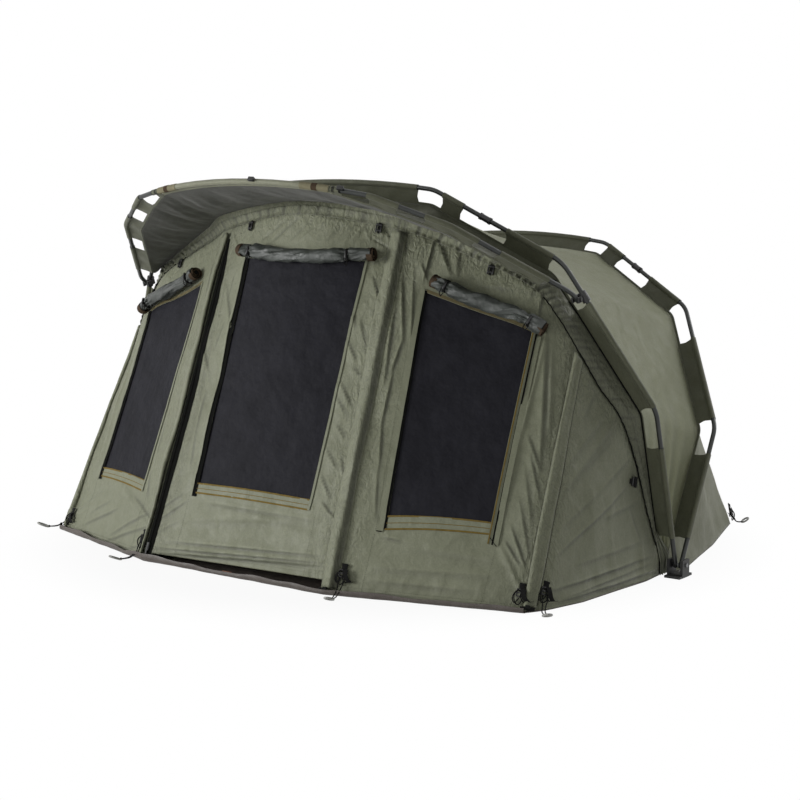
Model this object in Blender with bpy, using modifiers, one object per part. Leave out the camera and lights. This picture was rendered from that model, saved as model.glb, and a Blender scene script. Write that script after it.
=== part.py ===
"""A two-person bivvy tent: three bent-tube ribs with the sewn shell hung inside them on webs.

Metres, +Z up, the door faces -Y. The origin lies on the ground, midway between the two hinge blocks.
The main and rear ribs turn on the hinge blocks, and the peak rib turns on two knuckles of the main rib.
"""

import math
from collections import namedtuple

import bmesh
import bpy
from mathutils import Matrix, Vector

# Driving sizes of the frame
FOOT_X = 1.442
RIB_SPACING = 0.025
PIVOT_Z = 0.050
MAIN_LENGTH = 1.617
REAR_EXTRA = 0.020
PEAK_LENGTH = 0.814
MAIN_TILT = math.radians(17.3)
REAR_TILT = math.radians(-36.5)
PEAK_TILT = math.radians(55.8)
TUBE_R = 0.0095
BEND_R = 0.16
PEAK_BEND_R = 0.16
FOOT_TAIL = 0.014
BEND_STEPS = 4
BEND_REACH_SHARE = 0.4545
TOP_STEPS = 3
TUBE_SIDES_RESOLUTION = 2

# Bends of each rib, as shares of its half width and of its length
MAIN_BEND_SHARES = ((1.002, 0.418), (0.777, 0.792), (0.394, 0.976))
REAR_BEND_SHARES = ((0.971, 0.391), (0.750, 0.756), (0.392, 0.967))
PEAK_BEND_SHARES = ((1.0, 0.060), (0.741, 0.623), (0.520, 0.872))

# Joints between the rib sections
LOCK_SHARE = 0.59
LOCK_LENGTH = 0.052
LOCK_WALL = 0.0028
LOCK_RING = 0.0014
LOCK_BORE_CLEARANCE = 0.0007
SECTION_GAP = 0.0006

# Knuckles of the peak rib on the main rib
KNUCKLE_SHARE = 0.769
KNUCKLE_INSET = 0.014
KNUCKLE_STANDOFF = 0.034
COLLAR_R = 0.017
COLLAR_LENGTH = 0.045
EAR_WALL = 0.007
EAR_HEIGHT = 0.022
EAR_NOSE = 0.013

# Hinge blocks and bolts
CHEEK = 0.012
SIDE_CLEARANCE = 0.001
BLOCK_FLOOR = 0.014
BLOCK_LENGTH = 0.060
BLOCK_RISE = 0.022
BASE_LENGTH = 0.110
BASE_HEIGHT = 0.010
BOLT_R = 0.004
BOLT_CLEARANCE = 0.0004
BOLT_HEAD_R = 0.0085
BOLT_HEAD = 0.005

# Cloth
FABRIC = 0.0012
GAP = 0.0004
SEAM_SIDE = 0.0022
FIN_DEPTH = 0.070
SLEEVE_DEPTH = 0.026
POCKET_BORE = 0.0109
POCKET_WALL = 0.0016
WEB_HALF = 0.0010
SEAM_STRIP = 0.008
SHELL_FOOT = 0.020
ROOF_FOOT = 0.050
FIN_START_SHARE = 0.0465
LEG_CUT_SHARES = (0.202, 0.271)
TOP_CUT_SHARES = (0.758, 0.807)
KNUCKLE_CUT = (0.030, 0.198)
LOCK_CUT = (0.106, 0.106)
PEAK_CUT_SHARES = ((0.243, 0.306), (0.452, 0.520), (0.602, 0.676))
PEAK_FIN_SHARES = (0.10, 0.700)
PEAK_SLEEVE_SHARES = (0.72, 0.95)
ROOF_SAG_SHARE = 0.035
BACK_SAG_SHARE = 0.020
HOOD_SAG_SHARE = 0.030
HOOD_FOLDS = 13
HOOD_FOLD_DEPTH = 0.010

# Ground plan: the front hem against the front reach, the back hem against the back reach
FRONT_REACH = 1.079
BACK_REACH = 1.450
DOOR_HEM_SHARE = 0.3426
WINDOW_HEM_SHARES = (0.8786, 0.7905)
WING_HEM_SHARES = (
    WINDOW_HEM_SHARES, (0.9078, 0.7275), (0.941, 0.555), (0.9535, 0.3327), (0.966, 0.1474), (0.9605, 0.028),
)
BACK_HEM_SHARES = (
    (0.9605, 0.014), (0.988, 0.083), (0.945, 0.271), (0.910, 0.434), (0.843, 0.665), (0.811, 0.779),
)
BACK_CURVE_SHARES = (BACK_HEM_SHARES[-1], (0.640, 0.870), (0.416, 0.952), (0.200, 0.989), (0.0, 1.0))
BACK_CORNER_SHARE = 0.45
SHEET = 0.0025
SHEET_MARGIN = 0.012
HEM_LIFT = 0.0009

# The front arch, in twelve stations from its crown to the hinge. Each row has the station's place along the
# main rib's shell line, how far the roof edge stands forward of it and below it, and where the wall edge is
# from it across, forward and up, all five against the front reach.
ARCH_SHARES = (
    (1.000, 0.136, 0.010, 0.000, 0.161, -0.052),
    (0.803, 0.103, 0.035, -0.023, 0.095, -0.084),
    (0.721, 0.060, 0.035, -0.035, 0.060, -0.075),
    (0.630, 0.038, 0.022, -0.043, 0.050, -0.050),
    (0.521, 0.020, 0.000, -0.060, 0.054, -0.019),
    (0.454, 0.004, 0.000, -0.032, 0.079, 0.000),
    (0.384, 0.003, 0.000, -0.032, 0.106, 0.014),
    (0.324, 0.003, 0.000, -0.040, 0.093, 0.000),
    (0.265, 0.003, 0.000, -0.050, 0.061, 0.000),
    (0.200, 0.003, 0.000, -0.030, 0.046, 0.000),
    (0.044, 0.003, 0.000, 0.010, 0.039, 0.000),
    (0.000, 0.003, 0.000, 0.019, 0.041, -0.008),
)
DOOR_STATION = 1
ROOF_STATION = 4
WINDOW_STATION = 6
LAST_STATION = 11
DOOR_COLUMNS = 12
WINDOW_COLUMNS = 10
WING_COLUMNS = 8
FLAP_OVERLAP = 0.014
FLAP_INSET = 0.0015
FLAP_END_SHARE = 0.92
HOOD_INSET = 0.0020

# Windows: corners as shares across and up the panel, bottom then top, and the grid lines on their edges
DOOR_WINDOW_SHARES = ((0.212, 0.232), (0.830, 0.231), (0.226, 0.880), (0.862, 0.888))
SIDE_WINDOW_SHARES = ((0.230, 0.222), (0.725, 0.268), (0.185, 0.845), (0.655, 0.869))
SCREEN = 0.0010
SCREEN_GAP = 0.0008
SCREEN_MARGIN_SHARE = 0.22

# Rolled window covers
ROLL_R = 0.028
ROLL_GAP = 0.0005
ROLL_END_SHARE = 0.86
DOOR_ROLL_SHARES = ((0.205, 0.900), (0.904, 0.905))
SIDE_ROLL_SHARES = ((0.222, 0.879), (0.718, 0.902))

# Door zips, their flaps and the corner bands
TAPE_WIDTH = 0.032
TAPE = 0.0012
COIL_WIDTH = 0.007
COIL = 0.0035
ZIP_FOOT = 0.020
ZIP_HEAD = 0.060
SLIDER_WALL = 0.0028
SLIDER_LENGTH = 0.034
SLIDER_CLEARANCE = 0.0010
PULL_WIDTH = 0.010
PULL_LENGTH = 0.055
PULL = 0.0020
STORM_SPAN = (-0.028, 0.040)
STORM_CROWN = 0.015
OPEN_SPAN = (0.020, 0.058)
OPEN_CROWN = 0.006
BAND_SPAN = (-0.017, 0.030)
BAND_CROWN = 0.007
STRIP_GAP = 0.0008
STRIP_HEM = 0.004
STRIP_STEPS = 6
SEAM_GAP = 0.0008
SEAM_ROWS = 6

# Peg straps
STRAP_WIDTH = 0.025
STRAP = 0.0020
STRAP_LENGTH = 0.060
BUCKLE_WIDTH = 0.034
BUCKLE_LENGTH = 0.030
BUCKLE = 0.0060
LOOP_R = 0.022
LOOP_CORD_R = 0.0025

Rib = namedtuple("Rib", "half_width length tilt pivot bend_shares bend_radius")

parts = bpy.data.collections.new("bivvy_tent")
cutters = bpy.data.collections.new("bivvy_tent_cutters")
paints = {}


def clear_scene():
    for obj in list(bpy.data.objects):
        bpy.data.objects.remove(obj, do_unlink=True)
    bpy.context.scene.collection.children.link(parts)
    bpy.context.scene.collection.children.link(cutters)


def paint(name, colour, roughness, metallic=0.0):
    material = bpy.data.materials.new(name)
    material.use_nodes = True
    shader = material.node_tree.nodes["Principled BSDF"]
    shader.inputs["Base Color"].default_value = (*colour, 1.0)
    shader.inputs["Roughness"].default_value = roughness
    shader.inputs["Metallic"].default_value = metallic
    material.diffuse_color = (*colour, 1.0)
    paints[name] = material


def mix_paints():
    paint("tube", (0.05, 0.055, 0.055), 0.38, 0.6)
    paint("nylon", (0.02, 0.02, 0.02), 0.45)
    paint("steel", (0.45, 0.45, 0.46), 0.3, 1.0)
    paint("shell_cloth", (0.19, 0.20, 0.14), 0.75)
    paint("web_cloth", (0.07, 0.08, 0.05), 0.8)
    paint("hood_cloth", (0.05, 0.052, 0.045), 0.8)
    paint("net", (0.02, 0.02, 0.025), 0.9)
    paint("roll_cloth", (0.10, 0.11, 0.09), 0.5)
    paint("zip", (0.03, 0.03, 0.03), 0.5)
    paint("webbing", (0.09, 0.09, 0.08), 0.85)
    paint("sheet", (0.16, 0.14, 0.12), 0.7)


# Points and paths


def lerp(a, b, t):
    return a + (b - a) * t


def lengths(points):
    """The distance from the first point to each one, along the line."""
    run = [0.0]
    for a, b in zip(points, points[1:]):
        run.append(run[-1] + (b - a).length)
    return run


def along(points, share):
    """The point at a share of a line's length."""
    run = lengths(points)
    goal = run[-1] * min(max(share, 0.0), 1.0)
    for i in range(1, len(points)):
        if goal <= run[i]:
            return lerp(points[i - 1], points[i], (goal - run[i - 1]) / (run[i] - run[i - 1]))
    return points[-1].copy()


def section(points, start, end):
    """The stretch of a line between two shares of its length, with the line's own points."""
    run = lengths(points)
    inner = [p for p, at in zip(points, run) if start * run[-1] < at < end * run[-1]]
    return [along(points, start), *inner, along(points, end)]


def divided(points, step):
    """A line with points added so that none of its spans is longer than a step."""
    line = [points[0]]
    for a, b in zip(points, points[1:]):
        count = math.ceil((b - a).length / step)
        line += [lerp(a, b, k / count) for k in range(1, count + 1)]
    return line


def mirrored(points):
    """A right half, from its foot to its crown, with the left half behind it."""
    return points + [Vector((-p.x, *p[1:])) for p in reversed(points[:-1])]


def rounded(corners, radius):
    """A line with each corner turned into a short curve."""
    line = [corners[0]]
    for before, corner, after in zip(corners, corners[1:], corners[2:]):
        back = (before - corner).normalized()
        on = (after - corner).normalized()
        turn = math.pi - back.angle(on)
        room = min((before - corner).length, (after - corner).length) * BEND_REACH_SHARE
        reach = min(radius * math.tan(turn / 2), room)
        start = corner + back * reach
        end = corner + on * reach
        for step in range(BEND_STEPS + 1):
            t = step / BEND_STEPS
            line.append(lerp(lerp(start, corner, t), lerp(corner, end, t), t))
    line.append(corners[-1])
    return line


def spline(points, t):
    """A smooth curve through points, read at t, counted in points."""
    i = min(int(t), len(points) - 2)
    t -= i
    a = points[max(i - 1, 0)]
    b = points[i]
    c = points[i + 1]
    d = points[min(i + 2, len(points) - 1)]
    slope = (c - a) / 2
    bow = a - b * 2.5 + c * 2 - d / 2
    twist = (b - c) * 1.5 + (d - a) / 2
    return b + slope * t + bow * t ** 2 + twist * t ** 3


# Ribs


def rib_half(rib, start):
    """The right half of a rib in its own plane, from a height on its leg to its crown."""
    bends = [Vector((rib.half_width * x, rib.length * s)) for x, s in rib.bend_shares]
    foot = lerp(Vector((rib.half_width, 0.0)), bends[0], start / bends[0].y)
    shoulder = bends[-1]
    top = []
    for step in range(1, TOP_STEPS + 1):
        x = shoulder.x * (1 - step / TOP_STEPS)
        top.append(Vector((x, rib.length - (rib.length - shoulder.y) * (x / shoulder.x) ** 2)))
    return rounded([foot, *bends, top[0]], rib.bend_radius) + top[1:]


def up_of(rib):
    return Vector((0, -math.sin(rib.tilt), math.cos(rib.tilt)))


def front_of(rib):
    return Vector((0, -math.cos(rib.tilt), -math.sin(rib.tilt)))


def in_space(rib, point, forward=0.0):
    return rib.pivot + Vector((point.x, 0, 0)) + up_of(rib) * point.y + front_of(rib) * forward


def outwards(points):
    """The direction away from the cabin at each point of a line in a rib's plane."""
    normals = []
    for i in range(len(points)):
        before = points[i] - points[max(i - 1, 0)]
        after = points[min(i + 1, len(points) - 1)] - points[i]
        way = before.normalized() + after.normalized()
        normals.append(Vector((way.y, -way.x)).normalized())
    return normals


def inset_line(points, depths):
    return [p - n * d for p, n, d in zip(points, outwards(points), depths)]


MAIN = Rib(FOOT_X, MAIN_LENGTH, MAIN_TILT, Vector((0, 0, PIVOT_Z)), MAIN_BEND_SHARES, BEND_R)
REAR = Rib(
    FOOT_X + RIB_SPACING, MAIN_LENGTH + REAR_EXTRA, REAR_TILT, MAIN.pivot, REAR_BEND_SHARES, BEND_R,
)


def bend(rib, number):
    x, s = rib.bend_shares[number]
    return Vector((rib.half_width * x, rib.length * s))


KNUCKLE = lerp(bend(MAIN, 0), bend(MAIN, 1), KNUCKLE_SHARE)
PEAK_PIVOT = in_space(MAIN, Vector((0, KNUCKLE.y)), KNUCKLE_STANDOFF)
PEAK = Rib(KNUCKLE.x - KNUCKLE_INSET, PEAK_LENGTH, PEAK_TILT, PEAK_PIVOT, PEAK_BEND_SHARES, PEAK_BEND_R)


def lock_point(rib):
    return lerp(bend(rib, 1), bend(rib, 2), LOCK_SHARE)


def share_at(points, goal):
    """The share of a line's length where it passes nearest to a point on it."""
    run = lengths(points)
    best = min(range(len(points) - 1), key=lambda i: off_segment(goal, points[i], points[i + 1]))
    return (run[best] + (goal - points[best]).length) / run[-1]


def off_segment(goal, a, b):
    t = max(0.0, min(1.0, (goal - a).dot(b - a) / (b - a).length_squared))
    return (a + (b - a) * t - goal).length


# Objects


def add(obj, collection=parts):
    collection.objects.link(obj)
    return obj


def paint_on(obj, material):
    obj.data.materials.clear()
    obj.data.materials.append(paints[material])


def mesh_object(name, bm, material, smooth=True):
    bmesh.ops.recalc_face_normals(bm, faces=bm.faces)
    mesh = bpy.data.meshes.new(name)
    bm.to_mesh(mesh)
    bm.free()
    if smooth:
        mesh.shade_smooth()
        mesh.set_sharp_from_angle(angle=math.radians(40))
    obj = add(bpy.data.objects.new(name, mesh))
    paint_on(obj, material)
    return obj


def tube(name, points, radius, material, resolution=TUBE_SIDES_RESOLUTION, swell=None):
    """A round tube along a line, with filled ends."""
    curve = bpy.data.curves.new(name, "CURVE")
    curve.dimensions = "3D"
    curve.bevel_depth = radius
    curve.bevel_resolution = resolution
    curve.use_fill_caps = True
    line = curve.splines.new("POLY")
    line.points.add(len(points) - 1)
    for i, point in enumerate(points):
        line.points[i].co = (*point, 1.0)
        line.points[i].radius = swell[i] if swell else 1.0
    obj = add(bpy.data.objects.new(name, curve))
    paint_on(obj, material)
    return obj


def plate(name, outline, placing, half, material):
    """A flat outline, extruded half its thickness each way."""
    curve = bpy.data.curves.new(name, "CURVE")
    curve.dimensions = "2D"
    curve.fill_mode = "BOTH"
    curve.extrude = half
    line = curve.splines.new("POLY")
    line.points.add(len(outline) - 1)
    for i, (x, y) in enumerate(outline):
        line.points[i].co = (x, y, 0.0, 1.0)
    line.use_cyclic_u = True
    obj = add(bpy.data.objects.new(name, curve))
    obj.matrix_world = placing
    paint_on(obj, material)
    return obj


def as_mesh(obj):
    """A curve object turned into a closed mesh object of the same name."""
    bpy.context.view_layer.update()
    mesh = bpy.data.meshes.new_from_object(obj.evaluated_get(bpy.context.evaluated_depsgraph_get()))
    bm = bmesh.new()
    bm.from_mesh(mesh)
    bmesh.ops.remove_doubles(bm, verts=bm.verts, dist=0.00001)
    bmesh.ops.recalc_face_normals(bm, faces=bm.faces)
    bm.to_mesh(mesh)
    bm.free()
    name = obj.name
    placing = obj.matrix_world.copy()
    material = obj.data.materials[0]
    bpy.data.objects.remove(obj, do_unlink=True)
    mesh.materials.clear()
    mesh.materials.append(material)
    made = add(bpy.data.objects.new(name, mesh))
    made.matrix_world = placing
    return made


def shape(obj, other, operation):
    """Cuts, or joins, another object into this one and puts the other with the cutters."""
    parts.objects.unlink(other)
    cutters.objects.link(other)
    other.hide_render = True
    other.display_type = "WIRE"
    step = obj.modifiers.new(other.name, "BOOLEAN")
    step.operation = operation
    step.solver = "EXACT"
    step.object = other


def framed(x_axis, y_axis, origin):
    """A placing whose first two axes are given."""
    x_axis = x_axis.normalized()
    z_axis = x_axis.cross(y_axis).normalized()
    y_axis = z_axis.cross(x_axis)
    turn = Matrix((x_axis, y_axis, z_axis)).transposed().to_4x4()
    return Matrix.Translation(origin) @ turn


def box(name, size, placing, material):
    bm = bmesh.new()
    bmesh.ops.create_cube(bm, size=1.0)
    bmesh.ops.scale(bm, vec=size, verts=bm.verts)
    obj = mesh_object(name, bm, material, smooth=False)
    obj.matrix_world = placing
    return obj


def rod(name, radius, length, placing, material, sides=16):
    """A round bar along its placing's Z axis, centred on it."""
    bm = bmesh.new()
    bmesh.ops.create_cone(
        bm, cap_ends=True, segments=sides, radius1=radius, radius2=radius, depth=length,
    )
    obj = mesh_object(name, bm, material)
    obj.matrix_world = placing
    return obj


def turned(name, profile, placing, material, sides=16, closed=True):
    """A profile of radius and height, turned about its placing's Z axis."""
    bm = bmesh.new()
    verts = [bm.verts.new((r, 0.0, z)) for r, z in profile]
    for a, b in zip(verts, verts[1:]):
        bm.edges.new((a, b))
    if closed:
        bm.edges.new((verts[-1], verts[0]))
    mesh = bpy.data.meshes.new(name)
    bm.to_mesh(mesh)
    bm.free()
    obj = add(bpy.data.objects.new(name, mesh))
    obj.matrix_world = placing
    screw = obj.modifiers.new("turn", "SCREW")
    screw.steps = sides
    screw.render_steps = sides
    screw.use_merge_vertices = True
    screw.merge_threshold = 0.0001
    screw.use_normal_calculate = closed
    paint_on(obj, material)
    return obj


# Cloth


def full_depth(_point):
    return FIN_DEPTH


def stations(whole, start, end, cuts):
    """The stretch of a line between two shares of it, with a point at each end of a cut.

    Also says of each span whether a cut takes it.
    """
    run = lengths(whole)
    fixed = sorted({start, end, *(edge for cut in cuts for edge in cut if start < edge < end)})
    near = POCKET_WALL / run[-1]
    shares = list(fixed)
    for at in run:
        share = at / run[-1]
        if start < share < end and min(abs(share - edge) for edge in fixed) > near:
            shares.append(share)
    shares.sort()
    bare = []
    for a, b in zip(shares, shares[1:]):
        middle = (a + b) / 2
        bare.append(any(low < middle < high for low, high in cuts))
    return [along(whole, share) for share in shares], bare


def webbed_sleeve(name, rib, stretch, material, depth_at=full_depth):
    """A pocket round a rib with a web down to the shell.

    Where the stretch is bare, only the strip sewn into the seam runs on.
    """
    line, bare = stretch
    arc = 8
    outer_r = POCKET_BORE + POCKET_WALL
    slant = math.asin(WEB_HALF / outer_r)
    angles = [slant + (math.tau - 2 * slant) * k / (arc - 1) for k in range(arc)]
    outer = [(-math.cos(a) * outer_r, math.sin(a) * outer_r) for a in angles]
    inner = [(-math.cos(a) * POCKET_BORE, math.sin(a) * POCKET_BORE) for a in angles]
    front = front_of(rib)
    bm = bmesh.new()

    def loops(index, point, normal):
        """The outer ring, the pocket's ring and the seam strip's ring at a station."""
        depth = depth_at(point)
        centre = in_space(rib, point)
        out = Vector((normal.x, 0, 0)) + up_of(rib) * normal.y
        top = SEAM_STRIP - depth
        strip_line = ((top, -WEB_HALF), (-depth, -WEB_HALF), (-depth, WEB_HALF), (top, WEB_HALF))
        strip = [bm.verts.new(centre + out * n + front * b) for n, b in strip_line]
        if all(bare[max(index - 1, 0):index + 1]):
            return None, None, strip
        ring = [bm.verts.new(centre + out * n + front * b) for n, b in outer] + strip
        return ring, [bm.verts.new(centre + out * n + front * b) for n, b in inner], strip

    def skin(one, two):
        for k in range(len(one)):
            after = (k + 1) % len(one)
            bm.faces.new((one[k], one[after], two[after], two[k]))

    def end_cap(ring, hole, strip, strip_runs_on):
        for k in range(arc - 1):
            bm.faces.new((ring[k], ring[k + 1], hole[k + 1], hole[k]))
        tail = [strip[0], strip[3]] if strip_runs_on else strip
        bm.faces.new((ring[arc - 1], *tail, ring[0], hole[0], hole[arc - 1]))

    rings = [loops(index, *pair) for index, pair in enumerate(zip(line, outwards(line)))]
    for index, open_span in enumerate(bare):
        (ring_a, hole_a, strip_a), (ring_b, hole_b, strip_b) = rings[index], rings[index + 1]
        if open_span:
            skin(strip_a, strip_b)
        else:
            skin(ring_a, ring_b)
            skin(hole_a, hole_b)
    for index, (ring, hole, strip) in enumerate(rings):
        before = bare[index - 1] if index else None
        after = bare[index] if index < len(bare) else None
        if before == after:
            continue
        if False in (before, after):
            end_cap(ring, hole, strip, True in (before, after))
        else:
            bm.faces.new(strip)
    return mesh_object(name, bm, material)


def cabin_centre():
    return Vector((0, 0, PIVOT_Z + MAIN_LENGTH / 3))


def face_out(bm):
    """Turns a sheet's faces away from the cabin."""
    bm.normal_update()
    lean = sum(f.normal.dot(f.calc_center_median() - cabin_centre()) * f.calc_area() for f in bm.faces)
    if lean < 0:
        bmesh.ops.reverse_faces(bm, faces=bm.faces)
        bm.normal_update()


def sheet(name, columns, rows, place, material, thickness=FABRIC, sink=0.0, hole=None):
    """A panel of cloth on a grid of columns and rows, its outer face on place(column, row)."""
    bm = bmesh.new()
    bmesh.ops.create_grid(bm, x_segments=columns, y_segments=rows, size=1.0)
    spots = {}
    for vert in bm.verts:
        spots[vert] = (round((vert.co.x + 1) / 2 * columns), round((vert.co.y + 1) / 2 * rows))
    if hole:
        (left, right), (low, high) = hole
        inside = [
            face for face in bm.faces
            if all(left <= spots[v][0] <= right and low <= spots[v][1] <= high for v in face.verts)
        ]
        bmesh.ops.delete(bm, geom=inside, context="FACES")
        spots = {vert: spot for vert, spot in spots.items() if vert.is_valid}
    for vert, spot in spots.items():
        vert.co = place(*spot)
    face_out(bm)
    if sink:
        for vert, co in [(v, v.co - v.normal * sink) for v in bm.verts]:
            vert.co = co
    mesh = bpy.data.meshes.new(name)
    bm.to_mesh(mesh)
    bm.free()
    mesh.shade_smooth()
    obj = add(bpy.data.objects.new(name, mesh))
    paint_on(obj, material)
    wall = obj.modifiers.new("cloth", "SOLIDIFY")
    wall.thickness = thickness
    wall.offset = -1.0
    return obj


def toward(a, b, distance):
    """The point a given distance from a towards b."""
    return a + (b - a).normalized() * distance


def shell_line(rib, start):
    """Where the shell meets a rib's webs: the right half in the rib's plane."""
    line = rib_half(rib, start)
    return inset_line(line, [FIN_DEPTH] * len(line))


MAIN_SHELL = shell_line(MAIN, SHELL_FOOT)


def base_at(share):
    return in_space(MAIN, along(MAIN_SHELL, share))


def arch_rows():
    """The key points of the roof edge and of the wall edge of the front arch."""
    roof = []
    wall = []
    for share, forward, drop, across, ahead, rise in ARCH_SHARES:
        base = base_at(share)
        roof.append(base + Vector((0, -forward, -drop)) * FRONT_REACH)
        wall.append(base + Vector((across, -ahead, rise)) * FRONT_REACH)
    return roof, wall


ROOF_EDGE, WALL_EDGE = arch_rows()


def over_crown(points, station):
    """A smooth curve through a half's points that stays level over the crown."""
    return spline([on_side(points[1], -1), *points], station + 1)


def roof_edge(station):
    """The roof edge at a station: a smooth curve at the top, and beside the main rib below."""
    if station <= ROOF_STATION:
        return over_crown(ROOF_EDGE[: ROOF_STATION + 1], station)
    low = int(min(station, LAST_STATION - 1))
    row = [lerp(a, b, station - low) for a, b in zip(ARCH_SHARES[low], ARCH_SHARES[low + 1])]
    return base_at(row[0]) + Vector((0, -row[1], -row[2])) * FRONT_REACH


def wall_edge(station):
    return over_crown(WALL_EDGE, station)


def on_side(point, side):
    return Vector((point.x * side, point.y, point.z))


def hem(x_share, y_share, reach):
    return Vector((FOOT_X * x_share, reach * y_share, SHEET + HEM_LIFT))


DOOR_HEM = hem(DOOR_HEM_SHARE, 1.0, -FRONT_REACH)
WING_HEM = [hem(x, y, -FRONT_REACH) for x, y in WING_HEM_SHARES]
WINDOW_HEM = WING_HEM[0]
SIDE_HEM = [hem(x, y, BACK_REACH) for x, y in BACK_HEM_SHARES]
BACK_HEM = [hem(x, y, BACK_REACH) for x, y in BACK_CURVE_SHARES]


class Wall:
    """A flat-ruled panel of the front wall, with its grid and its window."""

    def __init__(self, low, high, columns, rows, window=None):
        self.low = low
        self.high = high
        self.columns = columns
        self.rows = rows
        self.window = window
        self.hole = None
        if window:
            self.hole = ((columns // 4, columns - columns // 4), (rows // 5, rows - rows // 5))

    def shares(self, column, row):
        """The shares across and up the panel of a grid crossing."""
        if not self.window:
            return column / self.columns, row / self.rows
        (left, right), (low, high) = self.hole
        (u0, v0), (u1, v1), (u2, v2), (u3, v3) = self.window
        across = (0, left, right, self.columns)
        up = (0, low, high, self.rows)
        nodes = (
            ((0, 0), (u0, 0), (u1, 0), (1, 0)),
            ((0, v0), (u0, v0), (u1, v1), (1, v1)),
            ((0, v2), (u2, v2), (u3, v3), (1, v3)),
            ((0, 1), (u2, 1), (u3, 1), (1, 1)),
        )
        i = max(k for k in range(3) if column >= across[k])
        j = max(k for k in range(3) if row >= up[k])
        s = (column - across[i]) / (across[i + 1] - across[i])
        t = (row - up[j]) / (up[j + 1] - up[j])
        low_row = lerp(Vector(nodes[j][i]), Vector(nodes[j][i + 1]), s)
        high_row = lerp(Vector(nodes[j + 1][i]), Vector(nodes[j + 1][i + 1]), s)
        if i == 1 and j > 0:
            edge = high_row if j == 1 else low_row
            edge.y = self.level(nodes[2][1], nodes[2][2], s)
        return tuple(lerp(low_row, high_row, t))

    def level(self, start, end, t):
        """The share up the panel of a line whose height runs evenly between two places."""
        height = lerp(self.spot(*start).z, self.spot(*end).z, t)
        u = start[0] + (end[0] - start[0]) * t
        low = self.low(u).z
        return (height - low) / (self.high(u).z - low)

    def spot(self, u, v):
        """A place on the panel, kept clear of the seams at its two sides and its top."""
        bottom = self.low(u)
        top = self.high(u)
        return lerp(bottom, toward(top, bottom, GAP), v)

    def corner(self, column, row):
        return self.spot(*self.shares(column, row))

    def at(self, column, row):
        """A place on the faceted panel between grid crossings."""
        i = min(max(int(math.floor(column)), 0), self.columns - 1)
        j = min(max(int(math.floor(row)), 0), self.rows - 1)
        low_row = lerp(self.corner(i, j), self.corner(i + 1, j), column - i)
        high_row = lerp(self.corner(i, j + 1), self.corner(i + 1, j + 1), column - i)
        return lerp(low_row, high_row, row - j)

    def out(self, column, row):
        """The direction away from the cabin at a place on the panel."""
        half = 0.5
        across = self.at(column + half, row) - self.at(column - half, row)
        up = self.at(column, row + half) - self.at(column, row - half)
        normal = across.cross(up).normalized()
        lean = normal.dot(self.at(column, row) - cabin_centre())
        return normal if lean > 0 else -normal

    def grid_of(self, u, v):
        """The grid place whose shares are nearest to a share across and up."""
        column = u * self.columns
        row = v * self.rows
        for _ in range(12):
            got = self.shares(min(max(column, 0), self.columns), min(max(row, 0), self.rows))
            column = min(max(column + (u - got[0]) * self.columns / 2, 0), self.columns)
            row = min(max(row + (v - got[1]) * self.rows / 2, 0), self.rows)
        return column, row


def inner_share(share, width):
    """A share across a panel, drawn in at both ends by the seam's gap."""
    margin = SEAM_GAP / width
    return lerp(margin, 1 - margin, share)


def door_low(u):
    return lerp(on_side(DOOR_HEM, -1), DOOR_HEM, inner_share(u, 2 * DOOR_HEM.x))


def door_high(u):
    share = inner_share(u, 2 * DOOR_HEM.x) * 2 - 1
    return on_side(wall_edge(abs(share) * DOOR_STATION), -1 if share < 0 else 1)


def window_low(u):
    return lerp(DOOR_HEM, WINDOW_HEM, inner_share(u, (WINDOW_HEM - DOOR_HEM).length))


def window_high(u):
    share = inner_share(u, (WINDOW_HEM - DOOR_HEM).length)
    return wall_edge(lerp(DOOR_STATION, WINDOW_STATION, share))


def wing_low(u):
    return along(WING_HEM, inner_share(u, lengths(WING_HEM)[-1]))


def wing_high(u):
    return wall_edge(lerp(WINDOW_STATION, LAST_STATION, inner_share(u, lengths(WING_HEM)[-1])))


DOOR = Wall(door_low, door_high, DOOR_COLUMNS, 10, DOOR_WINDOW_SHARES)
WINDOW_RIGHT = Wall(window_low, window_high, WINDOW_COLUMNS, 10, SIDE_WINDOW_SHARES)
WINDOW_LEFT = Wall(
    lambda u: on_side(window_low(u), -1), lambda u: on_side(window_high(u), -1),
    WINDOW_COLUMNS, 10, SIDE_WINDOW_SHARES,
)
WING_RIGHT = Wall(wing_low, wing_high, WING_COLUMNS, 6)
WING_LEFT = Wall(lambda u: on_side(wing_low(u), -1), lambda u: on_side(wing_high(u), -1), WING_COLUMNS, 6)


def front_wall():
    walls = (
        ("door_panel", DOOR), ("window_panel_right", WINDOW_RIGHT), ("window_panel_left", WINDOW_LEFT),
        ("front_wing_right", WING_RIGHT), ("front_wing_left", WING_LEFT),
    )
    for name, wall in walls:
        sheet(name, wall.columns, wall.rows, wall.corner, "shell_cloth", hole=wall.hole)


def screens():
    """Fine nets behind the window holes, each a little wider than its hole."""
    nets = (("door_mesh", DOOR), ("window_mesh_right", WINDOW_RIGHT), ("window_mesh_left", WINDOW_LEFT))
    for name, wall in nets:
        (left, right), (low, high) = wall.hole
        across = [left - SCREEN_MARGIN_SHARE, *range(left, right + 1), right + SCREEN_MARGIN_SHARE]
        up = [low - SCREEN_MARGIN_SHARE, *range(low, high + 1), high + SCREEN_MARGIN_SHARE]

        def place(column, row):
            return wall.at(across[column], up[row])

        sheet(name, len(across) - 1, len(up) - 1, place, "net", SCREEN, sink=FABRIC + SCREEN_GAP)


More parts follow.
